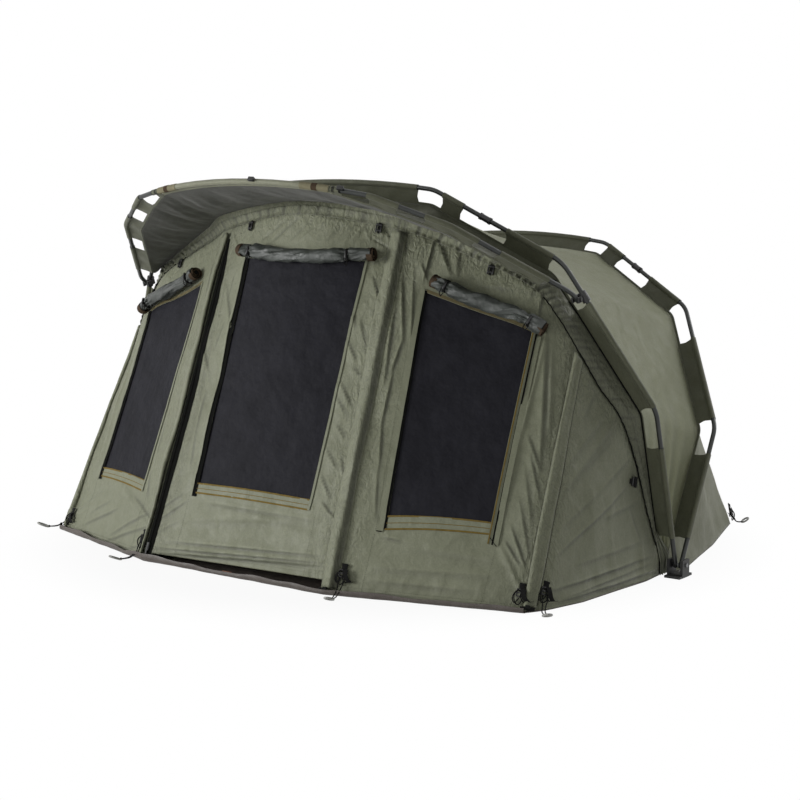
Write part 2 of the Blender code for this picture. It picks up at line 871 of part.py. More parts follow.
def cover_rolls():
    """Window covers rolled up and tied above the nets."""
    rolls = (
        ("cover_roll_door", DOOR, DOOR_ROLL_SHARES),
        ("cover_roll_right", WINDOW_RIGHT, SIDE_ROLL_SHARES),
        ("cover_roll_left", WINDOW_LEFT, SIDE_ROLL_SHARES),
    )
    for name, wall, (start, end) in rolls:
        first = wall.grid_of(*start)
        last = wall.grid_of(*end)
        inner = range(math.ceil(first[0]), math.floor(last[0]) + 1)
        columns = [first[0], *(c for c in inner if first[0] < c < last[0]), last[0]]
        swell = [ROLL_END_SHARE] + [1.0] * (len(columns) - 2) + [ROLL_END_SHARE]
        line = []
        for column, share in zip(columns, swell):
            t = (column - first[0]) / (last[0] - first[0])
            u = start[0] + (end[0] - start[0]) * t
            row = wall.grid_of(u, wall.level(start, end, t))[1]
            line.append(wall.at(column, row) + wall.out(column, row) * (ROLL_R * share + ROLL_GAP))
        tube(name, line, ROLL_R, "roll_cloth", 6, swell)


def arch_columns():
    """The columns of the front wall from right to left: station of the arch, side, panel and column."""
    columns = []
    stretches = ((WINDOW_RIGHT, DOOR_STATION, WINDOW_STATION), (WING_RIGHT, WINDOW_STATION, LAST_STATION))
    for wall, first, last in stretches:
        for index in range(wall.columns + 1):
            columns.append((lerp(first, last, wall.shares(index, wall.rows)[0]), 1, wall, index))
    door = []
    for index in range(DOOR.columns, -1, -1):
        share = DOOR.shares(index, DOOR.rows)[0] * 2 - 1
        door.append((abs(share) * DOOR_STATION, 1 if share > 0 else -1, DOOR, index))
    mirror = [(station, -1, wall, index) for station, side, wall, index in columns]
    return columns[::-1] + door + mirror


def arch_flap():
    """The zip flap over the joint of the front wall and the roof."""
    columns = [entry for entry in arch_columns() if entry[0] < LAST_STATION * FLAP_END_SHARE]
    lift = FABRIC + GAP * 2

    def place(column, row):
        station, side, wall, index = columns[column]
        near = min(max(index, 0.5), wall.columns - 0.5)
        out = wall.out(near, wall.rows - 0.5)
        top = wall.corner(index, wall.rows)
        if wall is DOOR:
            side = 1
            edge = on_side(roof_edge(station), columns[column][1])
        else:
            edge = roof_edge(station)
        if row == 0:
            point = toward(edge, top, FLAP_INSET)
        elif row == 1:
            point = top + out * lift
        else:
            below = wall.corner(index, wall.rows - 1)
            point = toward(top, below, min(FLAP_OVERLAP, (below - top).length)) + out * lift
        return on_side(point, side)

    sheet("arch_flap", len(columns) - 1, 2, place, "shell_cloth")


def roof_columns():
    """The columns of the roof strip: station and side, once for each place on the arch."""
    columns = []
    for station, side, wall, index in arch_columns():
        if station <= ROOF_STATION and (wall is DOOR or index):
            columns.append((station, side))
    return columns


def roof_front():
    """The strip of roof between the main rib's webs and the front arch."""
    columns = roof_columns()
    rows = 2

    def place(column, row):
        station, side = columns[column]
        low = int(min(station, ROOF_STATION - 1))
        share = lerp(ARCH_SHARES[low][0], ARCH_SHARES[low + 1][0], station - low)
        back = base_at(share) + front_of(MAIN) * SEAM_SIDE
        edge = roof_edge(station)
        return on_side(lerp(toward(edge, back, FLAP_INSET), back, row / rows), side)

    sheet("roof_front", len(columns) - 1, rows, place, "shell_cloth")


def peak_depth(point):
    """The depth of the peak rib's web: full on the legs, narrow along the top sleeve."""
    narrow, full = PEAK_SLEEVE_SHARES
    reach = (abs(point.x) / bend(PEAK, 2).x - narrow) / (full - narrow)
    return lerp(SLEEVE_DEPTH, FIN_DEPTH, min(max(reach, 0.0), 1.0))


def peak_lines():
    """The peak rib's line under its webs and under its sleeve, on the right half."""
    half = rib_half(PEAK, 0.0)
    start, end = PEAK_FIN_SHARES
    gap = SECTION_GAP / lengths(half)[-1]
    return divided(section(half, start, end), FIN_DEPTH), divided(section(half, end + gap, 1.0), FIN_DEPTH)


def peak_cuts():
    """The cuts of the peak's web, as shares of its own line."""
    start, end = PEAK_FIN_SHARES
    span = end - start
    return [((low - start) / span, (high - start) / span) for low, high in PEAK_CUT_SHARES]


def peak_hood():
    """The dark hood from the arch forward to the peak rib."""
    leg, top = peak_lines()
    line = leg + top[1:]
    front = inset_line(line, [peak_depth(p) + SEAM_SIDE for p in line])
    run = lengths(line)
    columns = [(i, 1) for i in range(len(line))] + [(i, -1) for i in range(len(line) - 2, -1, -1)]
    rows = 5

    def place(column, row):
        index, side = columns[column]
        edge = roof_edge((1 - run[index] / run[-1]) * ROOF_STATION)
        tip = in_space(PEAK, front[index])
        start = toward(edge, tip, HOOD_INSET)
        t = row / rows
        bow = 4 * t * (1 - t)
        fold = HOOD_FOLD_DEPTH * math.cos(math.tau * HOOD_FOLDS * run[index] / run[-1] / 2)
        drop = HOOD_SAG_SHARE * (tip - start).length * bow + fold * bow
        return on_side(lerp(start, tip, t) - Vector((0, 0, drop)), side)

    sheet("peak_hood", len(columns) - 1, rows, place, "hood_cloth")


def roof_panel():
    """The large panel between the main and rear ribs, hinge to hinge."""
    front = mirrored(shell_line(MAIN, ROOF_FOOT))
    back = mirrored(shell_line(REAR, ROOF_FOOT))
    rows = 4

    def place(column, row):
        a = in_space(MAIN, front[column], -SEAM_SIDE)
        b = in_space(REAR, back[column], SEAM_SIDE)
        t = row / rows
        sag = ROOF_SAG_SHARE * (b - a).length * 4 * t * (1 - t)
        point = lerp(a, b, t)
        inward = (cabin_centre() - point).normalized()
        return point + inward * sag

    sheet("roof_panel", len(front) - 1, rows, place, "shell_cloth")


def back_columns():
    """The back wall's half: its top line, cut at the corner seam too, and the hem point under each place."""
    half = shell_line(REAR, SHELL_FOOT)
    top = section(half, 0.0, BACK_CORNER_SHARE) + section(half, BACK_CORNER_SHARE, 1.0)[1:]
    run = lengths(top)
    feet = []
    for at in run:
        share = at / run[-1]
        if share <= BACK_CORNER_SHARE:
            feet.append(along(SIDE_HEM, share / BACK_CORNER_SHARE))
        else:
            feet.append(along(BACK_HEM, (share - BACK_CORNER_SHARE) / (1 - BACK_CORNER_SHARE)))
    return top, feet


def back_wall():
    """The back of the shell, from the rear rib down to the ground."""
    top, feet = back_columns()
    columns = [(i, 1) for i in range(len(top))] + [(i, -1) for i in range(len(top) - 2, -1, -1)]
    rows = 5

    def place(column, row):
        index, side = columns[column]
        a = in_space(REAR, top[index], -SEAM_SIDE)
        b = feet[index]
        t = row / rows
        sag = BACK_SAG_SHARE * (b - a).length * 4 * t * (1 - t)
        point = lerp(a, b, t)
        inward = (cabin_centre() - point).normalized()
        return on_side(point + inward * sag, side)

    sheet("back_wall", len(columns) - 1, rows, place, "shell_cloth")


def groundsheet():
    """The flat groundsheet, which shows as a strip in front of the hem."""
    def spread(point):
        return Vector((point.x, point.y - SHEET_MARGIN))

    half = [spread(Vector((0, DOOR_HEM.y))), spread(DOOR_HEM), spread(WINDOW_HEM)]
    half += [Vector((p.x, p.y)) for p in WING_HEM[1:] + back_columns()[1]]
    outline = [(p.x, p.y) for p in half] + [(-p.x, p.y) for p in half[-2:0:-1]]
    placing = Matrix.Translation((0, 0, SHEET / 2))
    return plate("groundsheet", outline, placing, SHEET / 2, "sheet")


# Webs between the ribs and the shell


def rib_cuts(rib, half):
    """The bared stretches of a rib's half: on the leg, at the knuckle, at the lock and on the top."""
    run = lengths(half)[-1]
    cuts = [LEG_CUT_SHARES]
    knuckle = lerp(bend(rib, 0), bend(rib, 1), KNUCKLE_SHARE)
    for point, (before, after) in ((knuckle, KNUCKLE_CUT), (lock_point(rib), LOCK_CUT)):
        share = share_at(half, point)
        cuts.append((share - before / run, share + after / run))
    return cuts + [TOP_CUT_SHARES]


def webs(prefix, rib):
    """The three webbed sleeves of a main or rear rib, parted at its locks."""
    half = rib_half(rib, 0.0)
    part_at = share_at(half, lock_point(rib))
    gap = SECTION_GAP / lengths(half)[-1]
    cuts = rib_cuts(rib, half)
    leg = stations(half, FIN_START_SHARE, part_at - gap, cuts)
    for side, name in ((1, f"{prefix}_fin_right"), (-1, f"{prefix}_fin_left")):
        obj = webbed_sleeve(name, rib, leg, "web_cloth")
        if side < 0:
            mirror_over(obj)
    start = (part_at + gap) / 2
    top_cuts = [(low / 2, high / 2) for low, high in cuts]
    top_cuts += [(1 - high, 1 - low) for low, high in top_cuts]
    crown = stations(mirrored(half), start, 1 - start, top_cuts)
    webbed_sleeve(f"{prefix}_fin_top", rib, crown, "web_cloth")


def mirror_over(obj):
    """Puts an object on the other side of the tent."""
    obj.data.transform(Matrix.Scale(-1, 4, Vector((1, 0, 0))))
    obj.data.flip_normals()


def peak_cloth():
    """The peak rib's two webs and the sleeve along its top."""
    leg, top = peak_lines()
    stretch = stations(leg, 0.0, 1.0, peak_cuts())
    for side, name in ((1, "peak_fin_right"), (-1, "peak_fin_left")):
        obj = webbed_sleeve(name, PEAK, stretch, "web_cloth", peak_depth)
        if side < 0:
            mirror_over(obj)
    webbed_sleeve("peak_sleeve", PEAK, stations(mirrored(top), 0.0, 1.0, ()), "shell_cloth", peak_depth)


# Frame pieces


def drill(obj, name, centre, radius, reach):
    """A bolt hole along X."""
    placing = Matrix.Translation(centre) @ Matrix.Rotation(math.pi / 2, 4, "Y")
    shape(obj, rod(name, radius, reach, placing, "steel"), "DIFFERENCE")


def bolt_hole_r():
    return BOLT_R + BOLT_CLEARANCE


def jointed_rib(prefix, rib):
    """A rib in three sections, its feet drilled for the hinge bolts."""
    half = rib_half(rib, -FOOT_TAIL)
    part_at = share_at(half, lock_point(rib))
    gap = SECTION_GAP / lengths(half)[-1] / 2
    leg = [in_space(rib, p) for p in section(half, 0.0, part_at - gap)]
    for side, name in ((1, f"{prefix}_rib_right"), (-1, f"{prefix}_rib_left")):
        obj = as_mesh(tube(name, [on_side(p, side) for p in leg], TUBE_R, "tube"))
        centre = rib.pivot + Vector((rib.half_width * side, 0, 0))
        drill(obj, f"{name}_hole", centre, bolt_hole_r(), TUBE_R * 4)
    crown = [in_space(rib, p) for p in mirrored(section(half, part_at + gap, 1.0))]
    tube(f"{prefix}_rib_top", crown, TUBE_R, "tube")


def peak_rib():
    half = rib_half(PEAK, -FOOT_TAIL)
    line = [in_space(PEAK, p) for p in mirrored(half)]
    obj = as_mesh(tube("peak_rib", line, TUBE_R, "tube"))
    for side in (1, -1):
        centre = PEAK.pivot + Vector((PEAK.half_width * side, 0, 0))
        drill(obj, f"peak_rib_hole_{side}", centre, bolt_hole_r(), TUBE_R * 4)


def upon(centre, axis):
    """A placing whose Z axis runs along an axis."""
    return Matrix.Translation(centre) @ axis.to_track_quat("Z", "Y").to_matrix().to_4x4()


def lock_sleeves(prefix, rib):
    """Sliding sleeves that lock the rib's sections end to end."""
    centre = in_space(rib, lock_point(rib))
    way = in_space(rib, bend(rib, 2)) - in_space(rib, bend(rib, 1))
    bore = TUBE_R + LOCK_BORE_CLEARANCE
    skin = bore + LOCK_WALL
    ring = skin + LOCK_RING
    half = LOCK_LENGTH / 2
    band = LOCK_LENGTH / 6
    profile = (
        (ring, half), (ring, half - band), (skin, half - band - LOCK_RING), (skin, band - half + LOCK_RING),
        (ring, band - half), (ring, -half), (bore, -half), (bore, half),
    )
    for side, name in ((1, f"{prefix}_lock_right"), (-1, f"{prefix}_lock_left")):
        turned(name, profile, upon(on_side(centre, side), on_side(way, side)), "nylon")


def hinge_blocks():
    """A clevis block at each side, in which the feet of both ribs turn on one bolt."""
    inner = FOOT_X - TUBE_R - SIDE_CLEARANCE
    outer = FOOT_X + RIB_SPACING + TUBE_R + SIDE_CLEARANCE
    top = PIVOT_Z + BLOCK_RISE
    section_line = (
        (inner - CHEEK, 0), (outer + CHEEK, 0), (outer + CHEEK, top), (outer, top),
        (outer, BLOCK_FLOOR), (inner, BLOCK_FLOOR), (inner, top), (inner - CHEEK, top),
    )
    upright = framed(Vector((1, 0, 0)), Vector((0, 0, 1)), Vector((0, 0, 0)))
    middle = (inner + outer) / 2
    width = outer - inner + 2 * CHEEK
    for side, label in ((1, "right"), (-1, "left")):
        outline = [(x * side, z) for x, z in section_line]
        block = as_mesh(plate(f"hinge_block_{label}", outline, upright, BLOCK_LENGTH / 2, "nylon"))
        base = box(
            f"hinge_block_{label}_base", (width - 2 * SECTION_GAP, BASE_LENGTH, BASE_HEIGHT - SECTION_GAP),
            Matrix.Translation((middle * side, 0, BASE_HEIGHT / 2)), "nylon",
        )
        shape(block, base, "UNION")
        centre = Vector((middle * side, 0, PIVOT_Z))
        drill(block, f"hinge_block_{label}_hole", centre, bolt_hole_r(), width * 2)
        bolt(f"hinge_bolt_{label}", centre, width / 2, side)


def bolt(name, centre, half, side):
    """A bolt along X with a head at each end, clear of the faces that it holds."""
    face = half + BOLT_CLEARANCE
    end = face + BOLT_HEAD
    profile = ((0, end), (BOLT_HEAD_R, end), (BOLT_HEAD_R, face), (BOLT_R, face),
               (BOLT_R, -face), (BOLT_HEAD_R, -face), (BOLT_HEAD_R, -end), (0, -end))
    placing = Matrix.Translation(centre) @ Matrix.Rotation(side * math.pi / 2, 4, "Y")
    turned(name, profile, placing, "steel", closed=False)


def knuckles():
    """A collar on the main rib with two ears, between which the peak rib's foot turns."""
    centre = in_space(MAIN, KNUCKLE)
    way = in_space(MAIN, bend(MAIN, 1)) - in_space(MAIN, bend(MAIN, 0))
    half_slot = TUBE_R + SIDE_CLEARANCE
    ear_x = PEAK.half_width
    width = 2 * (half_slot + EAR_WALL)
    tail_room = math.hypot(FOOT_TAIL, TUBE_R) + SIDE_CLEARANCE
    for side, label in ((1, "right"), (-1, "left")):
        placing = upon(on_side(centre, side), on_side(way, side))
        name = f"peak_knuckle_{label}"
        collar = rod(name, COLLAR_R, COLLAR_LENGTH, placing, "nylon", 20)
        reach = KNUCKLE_STANDOFF + EAR_NOSE
        ear_centre = on_side(in_space(MAIN, Vector((ear_x, KNUCKLE.y)), reach / 2), side)
        ear_frame = framed(Vector((1, 0, 0)), front_of(MAIN), ear_centre)
        shape(collar, box(f"{name}_ears", (width, reach, EAR_HEIGHT), ear_frame, "nylon"), "UNION")
        bore_r = TUBE_R + LOCK_BORE_CLEARANCE
        shape(collar, rod(f"{name}_bore", bore_r, COLLAR_LENGTH * 3, placing, "nylon"), "DIFFERENCE")
        slot_length = tail_room + EAR_NOSE * 2
        slot_middle = KNUCKLE_STANDOFF - tail_room + slot_length / 2
        slot_centre = on_side(in_space(MAIN, Vector((ear_x, KNUCKLE.y)), slot_middle), side)
        slot_frame = framed(Vector((1, 0, 0)), front_of(MAIN), slot_centre)
        slot = box(f"{name}_slot", (2 * half_slot, slot_length, EAR_HEIGHT * 3), slot_frame, "nylon")
        shape(collar, slot, "DIFFERENCE")
        pin = PEAK.pivot + Vector((ear_x * side, 0, 0))
        drill(collar, f"{name}_hole", pin, bolt_hole_r(), width * 3)
        bolt(f"knuckle_bolt_{label}", pin, width / 2, side)


# Zips, flaps and bands along the seams of the front wall


def seam_spot(walls, distance, v, lift):
    """A place across a seam of two panels: its distance from the seam and its lift off the cloth."""
    before, after = walls
    outs = []
    spots = []
    for wall, end, way in ((before, before.columns, -1), (after, 0, 1)):
        row = wall.grid_of(end / wall.columns, v)[1]
        edge = wall.at(end, row)
        width = (wall.at(end + way, row) - edge).length
        spots.append(wall.at(end + way * abs(distance) / width, row))
        outs.append(wall.out(end + way * 0.5, row))
    if distance < 0:
        return spots[0] + outs[0] * lift
    if distance > 0:
        return spots[1] + outs[1] * lift
    return lerp(spots[0], spots[1], 0.5) + (outs[0] + outs[1]).normalized() * lift


def seam_sheet(name, walls, side, outline, foot, head, material, thickness):
    """A strip of cloth along a seam, from an outline of distances across it and lifts off it."""
    length = (walls[1].spot(0, 1) - walls[1].spot(0, 0)).length

    def place(column, row):
        v = lerp(foot / length, 1 - head / length, row / SEAM_ROWS)
        distance, lift = outline[column]
        return on_side(seam_spot(walls, distance, v, lift + STRIP_GAP + thickness), side)

    return sheet(name, len(outline) - 1, SEAM_ROWS, place, material, thickness)


DOOR_SEAM = (DOOR, WINDOW_RIGHT)
CORNER_SEAM = (WINDOW_RIGHT, WING_RIGHT)


def seam_placing(walls, side):
    """A placing at the foot of a seam: X across it, Y away from the cabin and Z up along it."""
    low = seam_spot(walls, 0.0, 0.0, 0.0)
    high = seam_spot(walls, 0.0, 1.0, 0.0)
    up = (high - low).normalized()
    out = seam_spot(walls, 0.0, 0.5, 1.0) - seam_spot(walls, 0.0, 0.5, 0.0)
    out = (out - up * out.dot(up)).normalized()
    out = on_side(out, side)
    up = on_side(up, side)
    turn = Matrix((out.cross(up), out, up)).transposed().to_4x4()
    return Matrix.Translation(on_side(low, side)) @ turn


def zips():
    """The two door zips and their sliders."""
    half_tape = TAPE_WIDTH / 2
    half_coil = COIL_WIDTH / 2
    outline = (
        (-half_tape, 0.0), (-half_coil - TAPE, 0.0), (-half_coil + TAPE, COIL), (0.0, COIL),
        (half_coil - TAPE, COIL), (half_coil + TAPE, 0.0), (half_tape, 0.0),
    )
    tape_top = STRIP_GAP + TAPE
    inside = half_coil + TAPE + SLIDER_CLEARANCE
    roof = tape_top + COIL + SLIDER_CLEARANCE
    wall = inside + SLIDER_WALL
    foot = tape_top + SLIDER_CLEARANCE
    crown = roof + SLIDER_WALL
    slider_line = (
        (-wall, foot), (-inside, foot), (-inside, roof), (inside, roof),
        (inside, foot), (wall, foot), (wall, crown), (-wall, crown),
    )
    for side, label in ((1, "right"), (-1, "left")):
        seam_sheet(f"door_zip_{label}", DOOR_SEAM, side, outline, ZIP_FOOT, ZIP_HEAD, "zip", TAPE)
        start = ZIP_FOOT + SLIDER_LENGTH
        middle = seam_placing(DOOR_SEAM, side) @ Matrix.Translation((0, 0, start))
        name = f"zip_slider_{label}"
        slider = as_mesh(plate(name, slider_line, middle, SLIDER_LENGTH / 2, "steel"))
        pull_place = middle @ Matrix.Translation((0, crown, (SLIDER_LENGTH - PULL_LENGTH) / 2))
        pull = box(f"{name}_pull", (PULL_WIDTH, PULL, PULL_LENGTH), pull_place, "steel")
        shape(slider, pull, "UNION")


def arched(inner, outer, crown):
    """An arched outline across a seam from one distance to another, both edges down on the cloth."""
    outline = [(inner, 0.0)]
    for k in range(STRIP_STEPS + 1):
        t = 2 * k / STRIP_STEPS - 1
        outline.append((lerp(inner + STRIP_HEM, outer - STRIP_HEM, k / STRIP_STEPS), crown * (1 - t ** 4)))
    return outline + [(outer, 0.0)]


def seam_strips():
    """The storm flap over the right zip, the open one beside the left zip and the corner bands."""
    flaps = (
        ("storm_flap_right", DOOR_SEAM, 1, STORM_SPAN, STORM_CROWN),
        ("storm_flap_left", DOOR_SEAM, -1, OPEN_SPAN, OPEN_CROWN),
        ("seam_band_right", CORNER_SEAM, 1, BAND_SPAN, BAND_CROWN),
        ("seam_band_left", CORNER_SEAM, -1, BAND_SPAN, BAND_CROWN),
    )
    for name, walls, side, (inner, outer), crown in flaps:
        outline = arched(inner, outer, crown)
        seam_sheet(name, walls, side, outline, ZIP_FOOT, ZIP_HEAD, "shell_cloth", FABRIC)


def peg_strap(name, point, way):
    """A strap on the ground with a buckle and a peg loop, running out from the hem."""
    way = way.normalized()
    height = SHEET + GAP + STRAP / 2
    start = point + way * GAP
    flat = framed(way, Vector((-way.y, way.x, 0)), Vector((start.x, start.y, height)))
    strap_place = flat @ Matrix.Translation((STRAP_LENGTH / 2, 0, 0))
    strap = box(name, (STRAP_LENGTH, STRAP_WIDTH, STRAP), strap_place, "webbing")
    buckle_place = flat @ Matrix.Translation((STRAP_LENGTH, 0, (BUCKLE - STRAP) / 2))
    buckle = box(f"{name}_buckle", (BUCKLE_LENGTH, BUCKLE_WIDTH, BUCKLE), buckle_place, "nylon")
    shape(strap, buckle, "UNION")
    bpy.ops.mesh.primitive_torus_add(
        major_radius=LOOP_R, minor_radius=LOOP_CORD_R, major_segments=12, minor_segments=5,
    )
    loop = bpy.context.object
    for holder in list(loop.users_collection):
        holder.objects.unlink(loop)
    add(loop)
    loop.name = f"{name}_loop"
    reach = STRAP_LENGTH + BUCKLE_LENGTH / 2 + LOOP_R - LOOP_CORD_R * 2
    loop.matrix_world = flat @ Matrix.Translation((reach, 0, LOOP_CORD_R - STRAP / 2))
    paint_on(loop, "nylon")
    shape(strap, loop, "UNION")


def peg_straps():
    for side, label in ((1, "right"), (-1, "left")):
        corner = on_side(WINDOW_HEM, side)
        peg_strap(f"peg_strap_corner_{label}", corner, Vector((corner.x, corner.y, 0)))
        door = on_side(DOOR_HEM, side)
        peg_strap(f"peg_strap_door_{label}", door, Vector((door.x / 2, door.y, 0)))
        back = on_side(SIDE_HEM[-1], side)
        peg_strap(f"peg_strap_back_{label}", back, Vector((back.x, back.y, 0)))


def build():
    clear_scene()
    mix_paints()
    jointed_rib("main", MAIN)
    jointed_rib("rear", REAR)
    peak_rib()
    lock_sleeves("main", MAIN)
    lock_sleeves("rear", REAR)
    hinge_blocks()
    knuckles()
    groundsheet()
    front_wall()
    screens()
    cover_rolls()
    arch_flap()
    roof_front()
    roof_panel()
    back_wall()
    peak_hood()
    webs("main", MAIN)
    webs("rear", REAR)
    peak_cloth()
    zips()
    seam_strips()
    peg_straps()


build()
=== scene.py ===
"""A bivvy tent on a pale floor: bent ribs, webbed shell, netted windows, rolled covers, zips and pegs."""

import math
from collections import namedtuple

import bmesh
import bpy
import numpy as np
from mathutils import Matrix, Vector


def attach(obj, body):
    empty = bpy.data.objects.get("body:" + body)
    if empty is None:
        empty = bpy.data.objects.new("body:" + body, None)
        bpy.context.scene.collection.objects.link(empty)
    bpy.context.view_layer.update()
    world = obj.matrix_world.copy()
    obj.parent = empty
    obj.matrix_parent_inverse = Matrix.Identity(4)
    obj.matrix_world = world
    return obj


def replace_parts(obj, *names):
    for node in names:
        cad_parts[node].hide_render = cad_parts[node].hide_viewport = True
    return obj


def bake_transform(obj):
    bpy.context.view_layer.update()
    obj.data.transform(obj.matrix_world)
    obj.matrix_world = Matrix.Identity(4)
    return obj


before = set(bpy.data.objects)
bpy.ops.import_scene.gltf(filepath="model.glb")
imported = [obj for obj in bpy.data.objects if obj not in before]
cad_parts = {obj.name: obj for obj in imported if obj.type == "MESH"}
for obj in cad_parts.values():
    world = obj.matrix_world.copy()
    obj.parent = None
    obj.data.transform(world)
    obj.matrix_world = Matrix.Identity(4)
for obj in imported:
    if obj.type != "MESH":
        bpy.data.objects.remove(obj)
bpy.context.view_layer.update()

TAU = math.tau
X_AXIS, UP = np.array((1.0, 0, 0)), np.array((0, 0, 1.0))
SIDES = ((1, "right"), (-1, "left"))

# Sizes shared with the frame, in metres
FOOT_X, RIB_SPACING, PIVOT_Z = 1.442, 0.025, 0.050
TUBE_R, POCKET_R = 0.0095, 0.0120
LOCK_SHARE, KNUCKLE_SHARE = 0.59, 0.769
SHEET, HEM_LIFT = 0.0025, 0.0009
FIN_DEPTH, SLEEVE_DEPTH, SEAM_SIDE = 0.070, 0.026, 0.0022
FRONT_REACH, BACK_REACH = 1.079, 1.450
LEG_CUT, TOP_CUT, KNUCKLE_CUT, LOCK_CUT = (0.202, 0.271), (0.758, 0.807), (0.030, 0.198), (0.106, 0.106)
PEAK_CUTS = ((0.243, 0.306), (0.452, 0.520), (0.602, 0.676))
PEAK_FIN, PEAK_NARROW = (0.10, 0.700), (0.72, 0.95)
BACK_CORNER = 0.45
CLOTH, NET_CLOTH, TAPE_THICK = 0.0009, 0.0006, 0.0011
NET_HOLE, GRAIN, GRAIN_DEEP = 0.0021, 0.0009, 0.00015
LOOP_R, CORD_R, RING_R, TIE_R, SEAM_CORD_R = 0.0021, 0.0023, 0.0042, 0.0026, 0.0026
TUBE_SIDES, CORD_SIDES = 20, 8

# Where a rib's lines start above its foot: tube, lower sheets, roof and web (a share for the web)
TUBE_START, HEM_START, ROOF_START, WEB_START = -0.014, 0.020, 0.050, 0.0465
KNUCKLE_GAP, KNUCKLE_FORWARD = 0.014, 0.034

# Webs: thickness, sway, bowed ends, step along a tab, shortest tab as a share, tape at the seam
WEB_THICK, WEB_SWAY, WEB_BOW = 0.0008, 0.0022, 0.006
TAB_STEP, MIN_TAB = 0.012, 0.004
SEAM_TAPE, SEAM_HALF = 0.009, 0.0016

# Sag of the big sheets as a share of their span, and the hood's pleats
ROOF_SAG, BACK_SAG, HOOD_SAG = 0.035, 0.020, 0.030
HOOD_PLEATS, HOOD_PLEAT_DEEP = 13, 0.0035

# Zips: half width, bow of the opened one, and teeth
ZIP_HALF, ZIP_BOW = 0.014, 0.018
TOOTH_PITCH, TOOTH_WIDTH = 0.004, 0.0062

DOOR_HEM_SHARE = ((0.3426, 1.0),)
WING_HEM_SHARES = (
    (0.8786, 0.7905), (0.9078, 0.7275), (0.941, 0.555), (0.9535, 0.3327), (0.966, 0.1474), (0.9605, 0.028))
SIDE_HEM_SHARES = (
    (0.9605, 0.014), (0.988, 0.083), (0.945, 0.271), (0.910, 0.434), (0.843, 0.665), (0.811, 0.779))
BACK_HEM_SHARES = ((0.811, 0.779), (0.640, 0.870), (0.416, 0.952), (0.200, 0.989), (0.0, 1.0))

# The front arch: place along the shell line, roof edge forward and down, wall edge across, forward and up
ARCH = np.array((
    (1.000, 0.136, 0.010, 0.000, 0.161, -0.052),
    (0.803, 0.103, 0.035, -0.023, 0.095, -0.084),
    (0.721, 0.060, 0.035, -0.035, 0.060, -0.075),
    (0.630, 0.038, 0.022, -0.043, 0.050, -0.050),
    (0.521, 0.020, 0.000, -0.060, 0.054, -0.019),
    (0.454, 0.004, 0.000, -0.032, 0.079, 0.000),
    (0.384, 0.003, 0.000, -0.032, 0.106, 0.014),
    (0.324, 0.003, 0.000, -0.040, 0.093, 0.000),
    (0.265, 0.003, 0.000, -0.050, 0.061, 0.000),
    (0.200, 0.003, 0.000, -0.030, 0.046, 0.000),
    (0.044, 0.003, 0.000, 0.010, 0.039, 0.000),
    (0.000, 0.003, 0.000, 0.019, 0.041, -0.008),
))
DOOR_STATION, ROOF_STATION, WINDOW_STATION, LAST_STATION = 1, 4, 6, 11

# Window corners as shares across and up the panel: bottom left, bottom right, top left, top right
DOOR_WINDOW = ((0.212, 0.232), (0.830, 0.231), (0.226, 0.880), (0.862, 0.888))
SIDE_WINDOW = ((0.230, 0.222), (0.725, 0.268), (0.185, 0.845), (0.655, 0.869))

Rib = namedtuple("Rib", "half length tilt pivot bends radius")


# Lines and arrays


def mix(a, b, t):
    return a + (b - a) * t


def unit(v):
    return v / np.maximum(np.linalg.norm(v, axis=-1, keepdims=True), 1e-12)


def ease(t):
    t = np.clip(t, 0, 1)
    return t * t * (3 - 2 * t)


def bell(x, width):
    return np.exp(-(x / width) ** 2)


def col(values):
    return np.asarray(values)[..., None]


def run_of(line):
    return np.concatenate([[0.0], np.cumsum(np.linalg.norm(np.diff(line, axis=0), axis=1))])


def along(line, shares):
    """Points at shares of a line's length."""
    run = run_of(line)
    goal = np.clip(shares, 0, 1) * run[-1]
    return np.stack([np.interp(goal, run, line[:, k]) for k in range(line.shape[1])], -1)


def spread(line, count):
    return along(np.array(line, float), np.linspace(0, 1, count))


def flip(points, side=-1):
    return points * np.array((side, 1, 1))[:points.shape[-1]]


def both_halves(half):
    """A right half from its foot to its crown, with the left half behind it."""
    return np.vstack([half, flip(half)[-2::-1]])


def on_sides(signed):
    """Signs that put each station's right-hand point on its own side."""
    return np.where(signed < 0, -1, 1)[:, None] * np.array((1, 0, 0)) + np.array((0, 1, 1))


def rounded(corners, radius, steps=8):
    """A line with each corner turned into a curve."""
    line = [corners[0]]
    for before, corner, after in zip(corners, corners[1:], corners[2:]):
        back, on = unit(before - corner), unit(after - corner)
        turn = math.pi - math.acos(max(-1.0, min(1.0, float(back @ on))))
        room = min(np.linalg.norm(before - corner), np.linalg.norm(after - corner)) * 0.4545
        reach = min(radius * math.tan(turn / 2), room)
        start, end = corner + back * reach, corner + on * reach
        for t in np.linspace(0, 1, steps + 1):
            line.append(mix(mix(start, corner, t), mix(corner, end, t), t))
    return np.array([*line, corners[-1]])


def smooth_through(points, t):
    """A smooth curve through points, read at t, counted in points."""
    t = np.asarray(t, float)
    i = np.clip(t.astype(int), 0, len(points) - 2)
    a, b = points[np.maximum(i - 1, 0)], points[i]
    c, d = points[i + 1], points[np.minimum(i + 2, len(points) - 1)]
    t = (t - i)[..., None]
    square, cube = a - b * 2.5 + c * 2 - d / 2, (b - c) * 1.5 + (d - a) / 2
    return b + (c - a) / 2 * t + square * t ** 2 + cube * t ** 3


